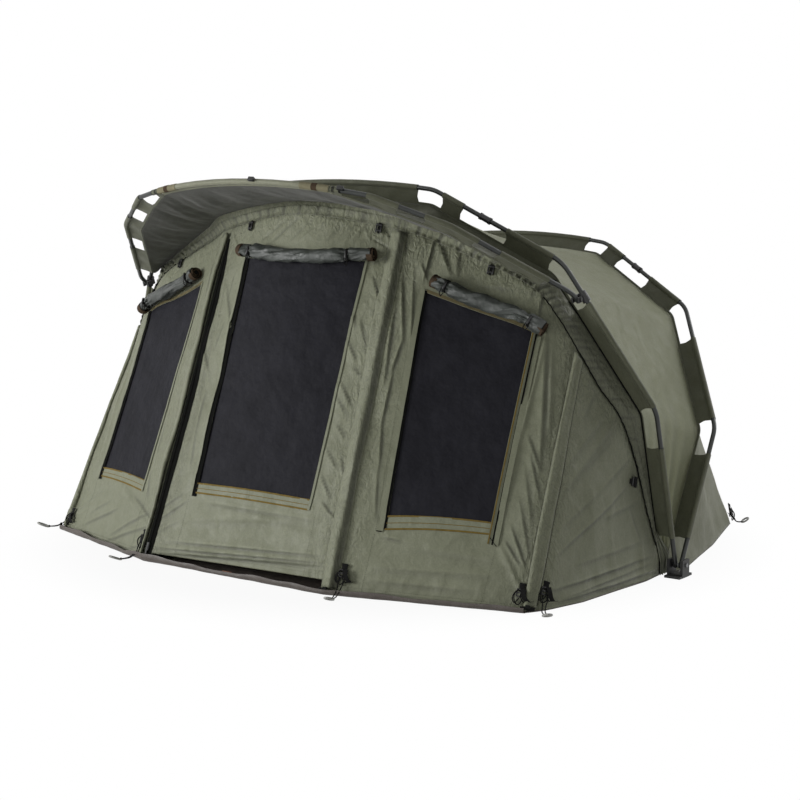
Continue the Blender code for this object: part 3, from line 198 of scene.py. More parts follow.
def waves(points, size, seed, lean=(1, 1, 1), count=14):
    """A smooth random field over points from -1 to 1, its bumps about this size and stretched by the lean."""
    rng = np.random.RandomState(seed)
    ways = unit(rng.normal(size=(count, 3))) / np.array(lean) * TAU / size
    ways *= rng.uniform(0.6, 1.5, (count, 1))
    field = sum(np.sin(points @ way + phase) for way, phase in zip(ways, rng.uniform(0, TAU, count)))
    return field / math.sqrt(count / 2) / 1.6


def creases(points, size, seed, lean=(1, 1, 1)):
    """Sharp little ridges between flat facets, as crumpled cloth has."""
    broad, small = (np.abs(waves(points, size * k, seed + n, lean)) for k, n in ((1, 0), (0.6, 9)))
    return 0.55 - broad * 0.5 - small * 0.4


def hoop(centre, x, y, turns, radius):
    """Points round a centre on two axes."""
    return centre + x * col(np.cos(turns) * radius) + y * col(np.sin(turns) * radius)


# Ribs


def bends(rib):
    return np.array(rib.bends) * (rib.half, rib.length)


def half_rib(rib, start=0.0):
    """A rib's right half in its own plane, from its foot to its crown."""
    corners = bends(rib)
    foot = mix(np.array((rib.half, 0.0)), corners[0], start / corners[0][1])
    side, high = corners[-1]
    x = side * (1 - np.linspace(0, 1, 7)[1:])
    top = np.stack([x, rib.length - (rib.length - high) * (x / side) ** 2], -1)
    return np.vstack([rounded([foot, *corners, top[0]], rib.radius), top[1:]])


def up_of(rib):
    return np.array((0, -math.sin(rib.tilt), math.cos(rib.tilt)))


def front_of(rib):
    return np.array((0, -math.cos(rib.tilt), -math.sin(rib.tilt)))


def stand(rib, flat, forward=0.0):
    """Points of a rib's plane, put in space."""
    flat = np.asarray(flat, float)
    return rib.pivot + flat[..., :1] * X_AXIS + flat[..., 1:2] * up_of(rib) + front_of(rib) * col(forward)


def outwards(line):
    before = unit(np.diff(line, axis=0, prepend=line[:1]))
    after = unit(np.diff(line, axis=0, append=line[-1:]))
    way = unit(before + after)
    return np.stack([way[:, 1], -way[:, 0]], -1)


def rib_frame(whole, shares):
    """Points at shares of a rib's line, with the way outwards at each."""
    run, ways = run_of(whole), outwards(whole)
    normal = np.stack([np.interp(shares, run / run[-1], ways[:, k]) for k in (0, 1)], -1)
    return along(whole, shares), unit(normal)


def turn_at(rib, number, share):
    """A place on the straight between one bend of a rib and the next."""
    return mix(bends(rib)[number], bends(rib)[number + 1], share)


FEET = np.array((0, 0, PIVOT_Z))
MAIN = Rib(FOOT_X, 1.617, math.radians(17.3), FEET, ((1.002, 0.418), (0.777, 0.792), (0.394, 0.976)), 0.16)
REAR = Rib(FOOT_X + RIB_SPACING, 1.637, math.radians(-36.5), FEET,
           ((0.971, 0.391), (0.750, 0.756), (0.392, 0.967)), 0.16)
KNUCKLE = turn_at(MAIN, 0, KNUCKLE_SHARE)
PEAK_PIVOT = stand(MAIN, (0.0, KNUCKLE[1]), KNUCKLE_FORWARD)
PEAK = Rib(KNUCKLE[0] - KNUCKLE_GAP, 0.814, math.radians(55.8), PEAK_PIVOT,
           ((1.0, 0.060), (0.741, 0.623), (0.520, 0.872)), 0.16)
FOLDING_RIBS = ((MAIN, "main", "shell"), (REAR, "rear", "rear_rib"))


def share_near(line, goal):
    fine = spread(line, 4001)
    return float(np.argmin(np.linalg.norm(fine - goal, axis=1))) / 4000


def lock_share(rib, half):
    return share_near(half, turn_at(rib, 1, LOCK_SHARE))


def shell_line(rib, start):
    line = half_rib(rib, start)
    return line - outwards(line) * FIN_DEPTH


MAIN_SHELL = shell_line(MAIN, HEM_START)
CABIN = np.array((0, 0, PIVOT_Z + MAIN.length / 3))


def base_at(shares):
    return stand(MAIN, along(MAIN_SHELL, shares))


ROOF_EDGE = base_at(ARCH[:, 0]) + ARCH[:, :3] * (0, -1, -1) * FRONT_REACH
WALL_EDGE = base_at(ARCH[:, 0]) + ARCH[:, 3:] * (1, -1, 1) * FRONT_REACH


def over_crown(points, station):
    return smooth_through(np.vstack([flip(points[1]), points]), np.asarray(station) + 1)


def roof_edge(station):
    station = np.asarray(station, float)
    high = over_crown(ROOF_EDGE[:ROOF_STATION + 1], np.minimum(station, ROOF_STATION))
    row = np.stack([np.interp(station, np.arange(len(ARCH)), ARCH[:, k]) for k in range(3)], -1)
    low = base_at(row[..., 0]) + row * (0, -1, -1) * FRONT_REACH
    return np.where(station[..., None] <= ROOF_STATION, high, low)


def wall_edge(station):
    return over_crown(WALL_EDGE, station)


def hem(shares, reach):
    x, y = np.array(shares, float).T
    return np.stack([FOOT_X * x, reach * y, 0 * x + SHEET + HEM_LIFT], -1)


DOOR_HEM = hem(DOOR_HEM_SHARE, -FRONT_REACH)[0]
WING_HEM = hem(WING_HEM_SHARES, -FRONT_REACH)
SIDE_HEM = hem(SIDE_HEM_SHARES, BACK_REACH)
BACK_HEM = hem(BACK_HEM_SHARES, BACK_REACH)


# Node trees


class Nodes:
    """A node tree, with short ways to add the nodes that this script uses."""

    def __init__(self, tree):
        self.tree = tree

    def __call__(self, kind, inputs=None, out=0, **settings):
        """Adds a node and returns its output."""
        made = self.tree.nodes.new(kind)
        for key, value in settings.items():
            setattr(made, key, value)
        self.wire(made, inputs or {})
        return made.outputs[out]

    def wire(self, made, inputs):
        """Links or sets a node's inputs."""
        for key, value in inputs.items():
            if isinstance(value, bpy.types.NodeSocket):
                self.tree.links.new(value, made.inputs[key])
            else:
                made.inputs[key].default_value = value

    def math(self, operation, *values):
        return self("ShaderNodeMath", dict(enumerate(values)), operation=operation)

    def ranged(self, *values, **settings):
        """A value moved from one range to another."""
        return self("ShaderNodeMapRange", dict(enumerate(values)), **settings)

    def seen_rays(self):
        """One for the rays that see the backdrop, in a mirror or through glass too."""
        path = self.tree.nodes.new("ShaderNodeLightPath").outputs
        seen = self.math("MAXIMUM", path["Is Camera Ray"], path["Is Glossy Ray"])
        return self.math("MAXIMUM", seen, path["Is Transmission Ray"])


def rgb(*steps):
    """A colour as it shows, 0 to 255, made linear."""
    return (*((s / 255) ** 2.2 for s in steps), 1.0)


class Finish(Nodes):
    """A material's own tree."""

    def __init__(self, name):
        self.material = bpy.data.materials.new(name)
        self.material.use_nodes = True
        super().__init__(self.material.node_tree)
        self.shader = self.tree.nodes["Principled BSDF"]
        self.own = self("ShaderNodeTexCoord", out="UV")
        self.place = self("ShaderNodeTexCoord", out="Object")

    def noise(self, scale, detail, rough=0.5, warp=0.0, where=None):
        return self("ShaderNodeTexNoise", {"Vector": self.place if where is None else where, "Scale": scale,
                                           "Detail": detail, "Roughness": rough, "Distortion": warp})

    def wave(self, size, direction, profile="SIN", warp=0.0, warp_scale=1.0):
        """Threads or ribs of this width on the sheet's own map."""
        inputs = {"Vector": self.own, "Scale": TAU / 20 / size, "Distortion": warp,
                  "Detail Scale": warp_scale}
        return self("ShaderNodeTexWave", inputs, 1, bands_direction=direction, wave_profile=profile)

    def stored(self, label):
        return self("ShaderNodeAttribute", out="Fac", attribute_name=label)

    def blend(self, amount, a, b):
        return self("ShaderNodeMix", {0: amount, 6: a, 7: b}, 2, data_type="RGBA")

    def scaled(self, colour, amount):
        return self("ShaderNodeVectorMath", {0: colour, 3: amount}, operation="SCALE")

    def blotched(self, colour, shade, size, share=0.6):
        """A colour with a darker one in soft patches."""
        amount = self.ranged(self.noise(1 / size, 5.0, 0.6), 0.35, 0.68, 0.0, share)
        return self.blend(amount, rgb(*colour), rgb(*shade))

    def bump(self, height, strength, distance, under=None, **settings):
        inputs = {"Height": height, "Strength": strength, "Distance": distance}
        if under is not None:
            inputs["Normal"] = under
        return self("ShaderNodeBump", inputs, **settings)

    def done(self, colour, rough, normal, **more):
        """Wires the shader, and returns the material."""
        inputs = {"Base Color": colour, "Roughness": rough}
        if normal is not None:
            inputs["Normal"] = normal
        self.wire(self.shader, inputs)
        self.wire(self.shader, {key.replace("_", " "): value for key, value in more.items()})
        return self.material


def cloth(name, colour, shade, rough, thread=0.0016, pucker=0.0012, sheen=0.15, gloss=0.0, size=0.05):
    """Woven cloth: warp and weft, soft patches, fine crumpling, and painted shade in creases and in the
    crinkles of gathers.
    """
    made = Finish(name)
    weave = made.math("MULTIPLY", made.wave(thread, "X"), made.wave(thread, "Y"))
    flecks = made.ranged(made.noise(160.0, 3.0), 0.3, 0.7, 0.90, 1.08)
    threads = made.ranged(weave, 0.0, 1.0, 0.93, 1.04)
    # Painted shade: the stored crease value darkens the colour in creases, and lightens it a little where it
    # is below zero
    painted_crease_tone = made.ranged(made.stored("painted_crease_shade"), -0.3, 1.0, 1.234, 0.22)
    gathered = made.ranged(made.stored("gather"), 0.0, 1.0, 0.10, 1.0)
    squeezed = made("ShaderNodeMapping", {"Vector": made.place, "Scale": (1.0, 1.0, 0.45)})
    crinkle = made.noise(48.0, 2.0, 0.5, 1.2, squeezed)
    # Painted shade in the crinkles of gathered cloth: darker along the crinkles' lines, a little lighter
    # between them
    painted_crinkle_shade = made.math("ABSOLUTE", made.math("SUBTRACT", crinkle, 0.5))
    painted_crinkle_shade = made.math("MULTIPLY", made.ranged(painted_crinkle_shade, 0.0, 0.07, 0.30, -0.06), gathered)
    tone = flecks
    for part in (threads, painted_crease_tone, made.math("SUBTRACT", 1.0, painted_crinkle_shade)):
        tone = made.math("MULTIPLY", tone, part)
    crumple = made.noise(1 / size, 6.0, 0.55, 0.8)
    normal = made.bump(crumple, 0.32, pucker * 8)
    normal = made.bump(crinkle, gathered, pucker * 7, normal)
    normal = made.bump(weave, 0.35, thread / 5, normal)
    worn = made.ranged(crumple, 0.35, 0.65, rough - 0.06, rough + 0.07)
    return made.done(made.scaled(made.blotched(colour, shade, 0.22), tone), worn, normal,
                     Sheen_Weight=sheen, Sheen_Roughness=0.5, Coat_Weight=gloss, Coat_Roughness=0.35)


def net_cloth(name, colour, shade):
    """Fine net: square meshes with a faint haze, the holes painted with the dark of the shaded inside."""
    made = Finish(name)
    holes = made.math("MULTIPLY", made.wave(NET_HOLE, "X", "SAW"), made.wave(NET_HOLE, "Y", "SAW"))
    haze = made.blotched(colour, shade, 0.11, 0.8)
    # Painted shade: the holes show a dark colour in place of the shaded inside of the tent
    seen = made.blend(made.ranged(holes, 0.25, 0.5, 0.0, 0.75), haze, rgb(20, 19, 24))
    normal = made.bump(made.noise(14.0, 3.0), 0.5, 0.02)
    normal = made.bump(holes, 0.4, 0.0006, normal, invert=True)
    return made.done(seen, made.ranged(holes, 0.2, 0.6, 0.62, 0.92), normal, Specular_IOR_Level=0.12)


def moulded(name, colour, shade, rough, metal=0.0, wear=None):
    """Moulded plastic, painted tube or metal, with grain and paler wear on it."""
    made = Finish(name)
    base = made.blotched(colour, shade, 0.04)
    if wear:
        amount = made.ranged(made.noise(70.0, 8.0, 0.75), 0.62, 0.70, 0.0, 0.7)
        base = made.blend(amount, base, rgb(*wear))
    grain = made.noise(1 / GRAIN, 2.0)
    worn = made.ranged(grain, 0.3, 0.7, rough - 0.07, rough + 0.08)
    return made.done(base, worn, made.bump(grain, 0.5, GRAIN_DEEP), Metallic=metal)


def webbing(name, colour, shade, rib_size=0.0022, rough=0.8):
    """Narrow woven tape: cross ribs on its own map."""
    made = Finish(name)
    ribs = made.wave(rib_size, "DIAGONAL", "SIN", 0.6, 3.0)
    tone = made.ranged(ribs, 0.0, 1.0, 0.78, 1.1)
    return made.done(made.scaled(made.blotched(colour, shade, 0.02), tone), rough,
                     made.bump(ribs, 0.5, 0.0004), Specular_IOR_Level=0.12)


SHELL = cloth("shell_cloth", (128, 131, 108), (117, 120, 97), 0.60)
ROOF = cloth("roof_cloth", (130, 133, 103), (120, 123, 94), 0.64, pucker=0.0006)
# The back wall's cloth is the shell's cloth darkened: painted shade for the side that lies away from the
# light
SHADED_BACK = cloth("back_cloth", (106, 108, 85), (97, 99, 77), 0.64)
WEB = cloth("web_cloth", (92, 94, 74), (80, 82, 64), 0.66, pucker=0.0008)
HOOD_TOP = cloth("hood_cloth", (92, 94, 76), (80, 82, 66), 0.66)
SLEEVE = cloth("sleeve_cloth", (138, 139, 118), (120, 121, 101), 0.62)
HOOD_UNDER = cloth("hood_lining", (78, 79, 71), (62, 63, 56), 0.66)
# The roll cloth's dark patches, much darker than its base, are painted shade standing in for the shade among
# its folds
ROLL = cloth("roll_cloth", (76, 80, 76), (42, 46, 42), 0.50, pucker=0.0016, sheen=0.0, gloss=0.10, size=0.03)
VINYL = cloth("groundsheet_vinyl", (82, 75, 69), (66, 60, 55), 0.6, 0.003, 0.0015, sheen=0.0, gloss=0.1)
PIPING = cloth("piping", (150, 152, 128), (134, 136, 112), 0.55, thread=0.0008)
NET = net_cloth("window_net", (44, 44, 49), (31, 31, 35))
TAPE = webbing("ochre_tape", (132, 112, 62), (104, 92, 54))
TAN = webbing("tan_tape", (142, 137, 112), (126, 121, 98))
BROWN = webbing("brown_binding", (82, 69, 56), (58, 48, 39))
EDGE = webbing("turned_edge", (112, 104, 78), (92, 86, 64))
TAG = webbing("brown_tag", (146, 104, 84), (122, 86, 70))
BLACK_TAPE = webbing("black_tape", (34, 34, 33), (22, 22, 22))
ZIP = webbing("zip_tape", (17, 18, 15), (10, 11, 9), 0.0012, 0.95)
COIL = webbing("zip_coil", (22, 23, 20), (14, 15, 13), 0.0012, 0.9)
THREAD = moulded("thread", (84, 86, 66), (66, 68, 52), 0.75)
TUBE = moulded("rib_paint", (58, 60, 58), (44, 46, 45), 0.36, 0.35, (96, 98, 94))
RING = moulded("ring_metal", (166, 166, 161), (134, 134, 130), 0.45, 0.2)
NYLON = moulded("black_nylon", (34, 34, 34), (24, 24, 24), 0.42, wear=(58, 58, 57))
BLOCK = moulded("hinge_black", (24, 24, 24), (15, 15, 15), 0.55)
STEEL = moulded("steel", (120, 121, 122), (96, 97, 98), 0.4, 1.0)


# Making meshes


def plain_mesh(name, verts, faces, uvs, finishes, slots=None, sharp=50):
    """A mesh with its map and finishes. One with a slot for each face has its normals turned outwards."""
    mesh = bpy.data.meshes.new(name)
    mesh.from_pydata([tuple(v) for v in verts], [], [tuple(f) for f in faces])
    mesh.uv_layers.new(name="map").data.foreach_set("uv", np.asarray(uvs, np.float32).ravel())
    for finish in finishes:
        mesh.materials.append(finish)
    if slots is None:
        mesh.validate()
    else:
        mesh.polygons.foreach_set("material_index", np.array(slots, np.int32))
        made = bmesh.new()
        made.from_mesh(mesh)
        bmesh.ops.recalc_face_normals(made, faces=made.faces)
        made.to_mesh(mesh)
        made.free()
    mesh.shade_smooth()
    mesh.set_sharp_from_angle(angle=math.radians(sharp))
    return mesh


def linked(name, data):
    obj = bpy.data.objects.new(name, data)
    bpy.context.scene.collection.objects.link(obj)
    return obj


def applied(obj):
    """Turns an object with modifiers into a plain mesh of its own."""
    bpy.context.view_layer.update()
    mesh = bpy.data.meshes.new_from_object(obj.evaluated_get(bpy.context.evaluated_depsgraph_get()))
    obj.modifiers.clear()
    old, obj.data = obj.data, mesh
    bpy.data.meshes.remove(old)
    obj.data.name = obj.name
    return obj


def grid_faces(rows, columns, hole=None):
    """Quads of a grid of points, with a block of them left out."""
    r, c = np.meshgrid(np.arange(rows - 1), np.arange(columns - 1), indexing="ij")
    keep = np.ones(r.shape, bool)
    if hole:
        (left, right), (low, high) = hole
        keep[low:high, left:right] = False
    a = r[keep] * columns + c[keep]
    return np.stack([a, a + 1, a + 1 + columns, a + columns], -1)


def grid_map(points):
    """Each grid point's distance along its row and up its column."""
    runs = []
    for axis in (1, 0):
        step = np.diff(points, axis=axis, prepend=np.take(points, [0], axis))
        runs.append(np.cumsum(np.linalg.norm(step, axis=2), axis))
    return np.stack(runs, -1)


def drape(name, points, finish, painted_crease_shade=0.0, gather=0.0, under=None, hole=None, thick=CLOTH, body="shell"):
    """A sheet of cloth on a grid of points, with its outer face on them."""
    faces = grid_faces(*points.shape[:2], hole)
    flat = points.reshape(-1, 3)
    corners = flat[faces]
    normals = np.cross(corners[:, 1] - corners[:, 0], corners[:, 3] - corners[:, 0])
    if (normals * (corners.mean(1) - CABIN)).sum() < 0:
        faces = faces[:, ::-1]
    uv = grid_map(points)
    used, renumbered = np.unique(faces, return_inverse=True)
    finishes = [finish, under] if under else [finish]
    mesh = plain_mesh(name, flat[used], renumbered.reshape(faces.shape), uv.reshape(-1, 2)[faces], finishes)
    # Point attributes: painted crease shade, which darkens the finish, and how gathered the cloth is, which
    # sets its crinkles and their painted shade
    for label, value in (("painted_crease_shade", painted_crease_shade), ("gather", gather)):
        depth = np.clip(np.broadcast_to(value, points.shape[:2]).reshape(-1)[used], -0.3, 1)
        mesh.attributes.new(label, "FLOAT", "POINT").data.foreach_set("value", depth.astype(np.float32))
    obj = linked(name, mesh)
    wall = obj.modifiers.new("cloth", "SOLIDIFY")
    wall.thickness = thick
    wall.offset = -1.0
    wall.material_offset = len(finishes) - 1
    applied(obj)
    if body:
        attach(obj, body)
    return obj


def sweep(path, radius, sides=12):
    """Rings of points round a path, with frames that don't twist."""
    path = np.asarray(path, float)
    tangent = unit(np.gradient(path, axis=0))
    side = np.cross(tangent[0], UP)
    if np.linalg.norm(side) < 0.05:
        side = np.cross(tangent[0], (0.0, 1.0, 0.0))
    across = [unit(side)]
    for t in tangent[1:]:
        across.append(unit(across[-1] - t * (across[-1] @ t)))
    across = np.array(across)
    angle = np.arange(sides) / sides * TAU
    if np.ndim(radius) < 2:
        radius = np.asarray(radius, float).reshape(-1, 1)
    ring = col(np.cos(angle)) * across[:, None] + col(np.sin(angle)) * np.cross(tangent, across)[:, None]
    return path[:, None] + ring * np.broadcast_to(radius, (len(path), sides))[..., None]


class Batch:
    """Several closed shapes gathered into one object."""

    def __init__(self, name, *finishes):
        self.name, self.finishes = name, finishes
        self.verts, self.faces, self.uvs, self.slots = [], [], [], []

    def add(self, verts, faces, uvs, finish):
        """Adds faces, mapped from above where they have no map of their own."""
        for k, face in enumerate(faces):
            self.faces.append([i + len(self.verts) for i in face])
            self.uvs += [verts[i][:2] for i in face] if uvs is None else uvs[k]
            self.slots.append(finish)
        self.verts += [tuple(v) for v in verts]

    def rings(self, rings, finish=0, from_above=False):
        """A closed skin over rings of points."""
        count, sides = rings.shape[:2]
        middle = rings[count // 2]
        girth, run = run_of(np.vstack([middle, middle[:1]])), run_of(rings.mean(1))
        i, j = (a.ravel() for a in np.meshgrid(np.arange(count - 1), np.arange(sides), indexing="ij"))
        k = (j + 1) % sides
        faces = np.stack([i * sides + j, i * sides + k, (i + 1) * sides + k, (i + 1) * sides + j], 1).tolist()
        corners = [(girth[j + a], run[i + b]) for a, b in ((0, 0), (1, 0), (1, 1), (0, 1))]
        uvs = np.array(corners).transpose(2, 0, 1).tolist()
        for cap in (range(sides - 1, -1, -1), range((count - 1) * sides, count * sides)):
            faces.append(list(cap))
            uvs.append([(girth[i % sides], 0.0) for i in cap])
        self.add(rings.reshape(-1, 3), faces, None if from_above else uvs, finish)

    def strip(self, points, lift=TAPE_THICK, finish=0):
        """A thin closed band: rows of points across it, raised by a lift along its normals."""
        normal = unit(np.cross(np.gradient(points, axis=1), np.gradient(points, axis=0)))
        if (normal * (points - CABIN)).sum() < 0:
            normal = -normal
        self.rings(np.concatenate([points + normal * lift, points[:, ::-1]], axis=1), finish)

    def box(self, centre, axes, size, finish=0, bevel=0.0):
        """A bevelled block on three axes."""
        made = bmesh.new()
        bmesh.ops.create_cube(made, size=1.0)
        bmesh.ops.scale(made, vec=size, verts=made.verts)
        bmesh.ops.bevel(made, geom=made.edges[:], offset=bevel, segments=2, affect="EDGES", profile=0.5)
        verts = np.array([v.co for v in made.verts]) @ np.array(axes) + np.asarray(centre)
        made.verts.index_update()
        self.add(verts, [[v.index for v in f.verts] for f in made.faces], None, finish)
        made.free()

    def made(self, body="shell"):
        mesh = plain_mesh(self.name, self.verts, self.faces, self.uvs, self.finishes, self.slots, 45)
        obj = linked(self.name, mesh)
        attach(obj, body)
        return obj


# Shapes that follow a path, made by node trees


class Grown(Nodes):
    """A tree that grows a shape on lines of points."""

    def __init__(self, name, **sockets):
        super().__init__(bpy.data.node_groups.new(name, "GeometryNodeTree"))
        for label, kind in {"Path": "Geometry", **sockets, "Finish": "Material"}.items():
            self.tree.interface.new_socket(label, in_out="INPUT", socket_type="NodeSocket" + kind)
        self.tree.interface.new_socket("Shape", in_out="OUTPUT", socket_type="NodeSocketGeometry")
        self.given = self.tree.nodes.new("NodeGroupInput").outputs
        self.line = self("GeometryNodeMeshToCurve", {"Mesh": self.given["Path"]})

    def repeated(self, thing, step, **more):
        """A thing at every step along the lines, turned their way."""
        spaced = {"Curve": self.line, "Length": self.given[step]}
        points = self("GeometryNodeResampleCurve", spaced, mode="LENGTH")
        way = self("GeometryNodeInputTangent")
        turn = self("FunctionNodeAlignRotationToVector", {"Vector": way}, axis="Z")
        inputs = {"Points": points, "Instance": thing, "Rotation": turn, **more}
        return self("GeometryNodeInstanceOnPoints", inputs)

    def done(self, shape):
        real = self("GeometryNodeRealizeInstances", {0: shape})
        painted = self("GeometryNodeSetMaterial", {"Geometry": real, "Material": self.given["Finish"]})
        self.tree.links.new(painted, self.tree.nodes.new("NodeGroupOutput").inputs[0])
        return self.tree


def rod_tree():
    """A round rod along each line, as thick as the line's own radius says."""
    made = Grown("round_rod", Sides="Int")
    size = made("GeometryNodeInputNamedAttribute", {"Name": "radius"}, data_type="FLOAT")
    ring = made("GeometryNodeCurvePrimitiveCircle", {"Resolution": made.given["Sides"], "Radius": 1.0})
    inputs = {"Curve": made.line, "Profile Curve": ring, "Scale": size, "Fill Caps": True}
    skin = made("GeometryNodeCurveToMesh", inputs)
    return made.done(made("GeometryNodeSetShadeSmooth", {"Geometry": skin}))


def stitch_tree():
    """Short threads lying along each line."""
    made = Grown("stitch_row", Spacing="Float", Length="Float", Thick="Float")
    bead = made("GeometryNodeMeshIcoSphere", {"Radius": 0.5, "Subdivisions": 1})
    thick = made.given["Thick"]
    size = made("ShaderNodeCombineXYZ", {"X": thick, "Y": thick, "Z": made.given["Length"]})
    return made.done(made.repeated(bead, "Spacing", Scale=size))


def teeth_tree():
    """Zip teeth along each line, to one side and the other by turns."""
    made = Grown("zip_teeth", Pitch="Float", Width="Float")
    width = made.given["Width"]
    half = made.math("MULTIPLY", width, 0.5)
    size = made("ShaderNodeCombineXYZ", {"X": width, "Y": half, "Z": half})
    tooth = made("GeometryNodeMeshCube", {"Size": size})
    odd = made.math("MODULO", made("GeometryNodeInputIndex"), 2.0)
    reach = made.math("MULTIPLY", made.ranged(odd, 0.0, 1.0, -0.3, 0.3), width)
    shift = made("ShaderNodeCombineXYZ", {"X": reach})
    teeth = made.repeated(tooth, "Pitch")
    return made.done(made("GeometryNodeTranslateInstances", {"Instances": teeth, "Translation": shift}))


ROD, STITCH, TEETH = rod_tree(), stitch_tree(), teeth_tree()


def along_paths(name, tree, paths, body="shell", radius=0.001, **inputs):
    """Runs a tree on lines of points, and keeps the plain mesh."""
    verts, edges, sizes = [], [], []
    for k, path in enumerate(paths):
        edges += [(len(verts) + i, len(verts) + i + 1) for i in range(len(path) - 1)]
        verts += [tuple(p) for p in path]
        sizes += [radius[k] if isinstance(radius, list) else radius] * len(path)
    mesh = bpy.data.meshes.new(name)
    mesh.from_pydata(verts, edges, [])
    mesh.attributes.new("radius", "FLOAT", "POINT").data.foreach_set("value", np.array(sizes, np.float32))
    obj = linked(name, mesh)
    modifier = obj.modifiers.new("tree", "NODES")
    modifier.node_group = tree
    for item in tree.interface.items_tree:
        if item.in_out == "INPUT" and item.name in inputs:
            modifier[item.identifier] = inputs[item.name]
    applied(obj)
    if "radius" in obj.data.attributes:
        obj.data.attributes.remove(obj.data.attributes["radius"])
    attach(obj, body)
    return obj


def rods(name, paths, radius, finish, body="shell", sides=12):
    return along_paths(name, ROD, paths, body, radius, Sides=sides, Finish=finish)


def stitches(name, paths, spacing=0.0065, length=0.0044, thick=0.0013):
    return along_paths(name, STITCH, paths, Spacing=spacing, Length=length, Thick=thick, Finish=THREAD)


# Floor, lamps and camera


WORLD_LEVEL = 0.08
FLOOR_HALF = 40
LAMPS = (
    ("key_lamp", (-4.8, -6.2, 1.9), (0, -0.4, 0.7), 2.4, 355),
    ("front_lamp", (2.2, -8.0, 2.0), (0, -0.4, 0.7), 3.0, 62),
    ("back_lamp", (4.5, 5.0, 5.0), (0.3, 0.4, 0.7), 3.0, 200),
)
LENS, CAMERA_AT, CAMERA_TURN = 69.11, (4.186, -5.570, 1.460), (83.085, 0, 36.597)


def studio():
    """A pale floor that fades to white, a white world, three lamps and the photo's camera."""
    floor = Finish("pale_floor")
    floor.done((0.90, 0.90, 0.90, 1), 0.9, None, Specular_IOR_Level=0.1)
    far = floor("ShaderNodeVectorMath", {0: floor.place}, 1, operation="LENGTH")
    fade = floor.ranged(far, 1.25, 1.8, 0.93, 1.0, interpolation_type="SMOOTHSTEP")
    amount = floor.math("MULTIPLY", fade, floor.seen_rays())
    glow = floor("ShaderNodeEmission", {"Strength": 1.0})
    mixed = floor("ShaderNodeMixShader", {0: amount, 1: floor.shader.outputs[0], 2: glow})
    floor.tree.links.new(mixed, floor.tree.nodes["Material Output"].inputs[0])
    corners = np.array(((-1, -1, 0), (1, -1, 0), (1, 1, 0), (-1, 1, 0))) * FLOOR_HALF
    linked("floor", plain_mesh("floor", corners, [(0, 1, 2, 3)], corners[:, :2], [floor.material]))
    world = bpy.data.worlds.new("studio")
    bpy.context.scene.world = world
    world.use_nodes = True
    sky = Nodes(world.node_tree)
    level = sky.ranged(sky.seen_rays(), 0.0, 1.0, WORLD_LEVEL, 1.0)
    sky.wire(sky.tree.nodes["Background"], {"Color": (1, 1, 1, 1), "Strength": level})
    for name, place, aim, size, power in LAMPS:
        data = bpy.data.lights.new(name, "AREA")
        data.energy = power
        data.size = size
        lamp = linked(name, data)
        lamp.location = place
        lamp.rotation_euler = (Vector(aim) - Vector(place)).to_track_quat("-Z", "Y").to_euler()
    data = bpy.data.cameras.new("camera")
    data.lens = LENS
    data.sensor_width = 36.0
    camera = linked("camera", data)
    camera.location = CAMERA_AT
    camera.rotation_euler = [math.radians(angle) for angle in CAMERA_TURN]
    bpy.context.scene.camera = camera
    bpy.context.scene.view_settings.view_transform = "Standard"


# Front wall


def fold_over(points, start, end, width, height, reach, out):
    """The lift and painted shade of a long fold between two places, or of a tuck that fades on one side."""
    way = end - start
    t = np.clip(((points - start) @ way) / (way @ way), 0, 1)
    apart = points - start - col(t) * way
    apart = apart - col(apart @ out) * out
    ends = np.sqrt(np.clip(np.sin(np.pi * np.clip(t, 0.02, 0.98)), 0, 1))
    deep = min(1.0, 0.55 * abs(height) / width)
    if not reach:
        shape = bell(np.linalg.norm(apart, axis=-1), width)
        # A groove gets painted shade along its line; a ridge gets none
        return height * shape * ends, deep * shape * ends * (0.8 if height < 0 else 0.0)
    above = apart @ unit(np.cross(out, way))
    beyond = np.abs(((points - start) @ unit(way)) - t * np.linalg.norm(way))
    shape = ease((above + width) / (2 * width)) * np.exp(-np.clip(above, 0, None) / reach - beyond / 0.008)
    # Painted shade for a tuck: a dark line just under its step, and a painted highlight above it
    foot = above + width * 0.5
    under = bell(foot, np.where(foot < 0, width * 2.1, width))
    painted_highlight = 0.30 * bell(above - width * 1.3, width * 1.2)
    return height * shape * ends, deep * (under - painted_highlight) * ends * np.exp(-beyond / 0.006)


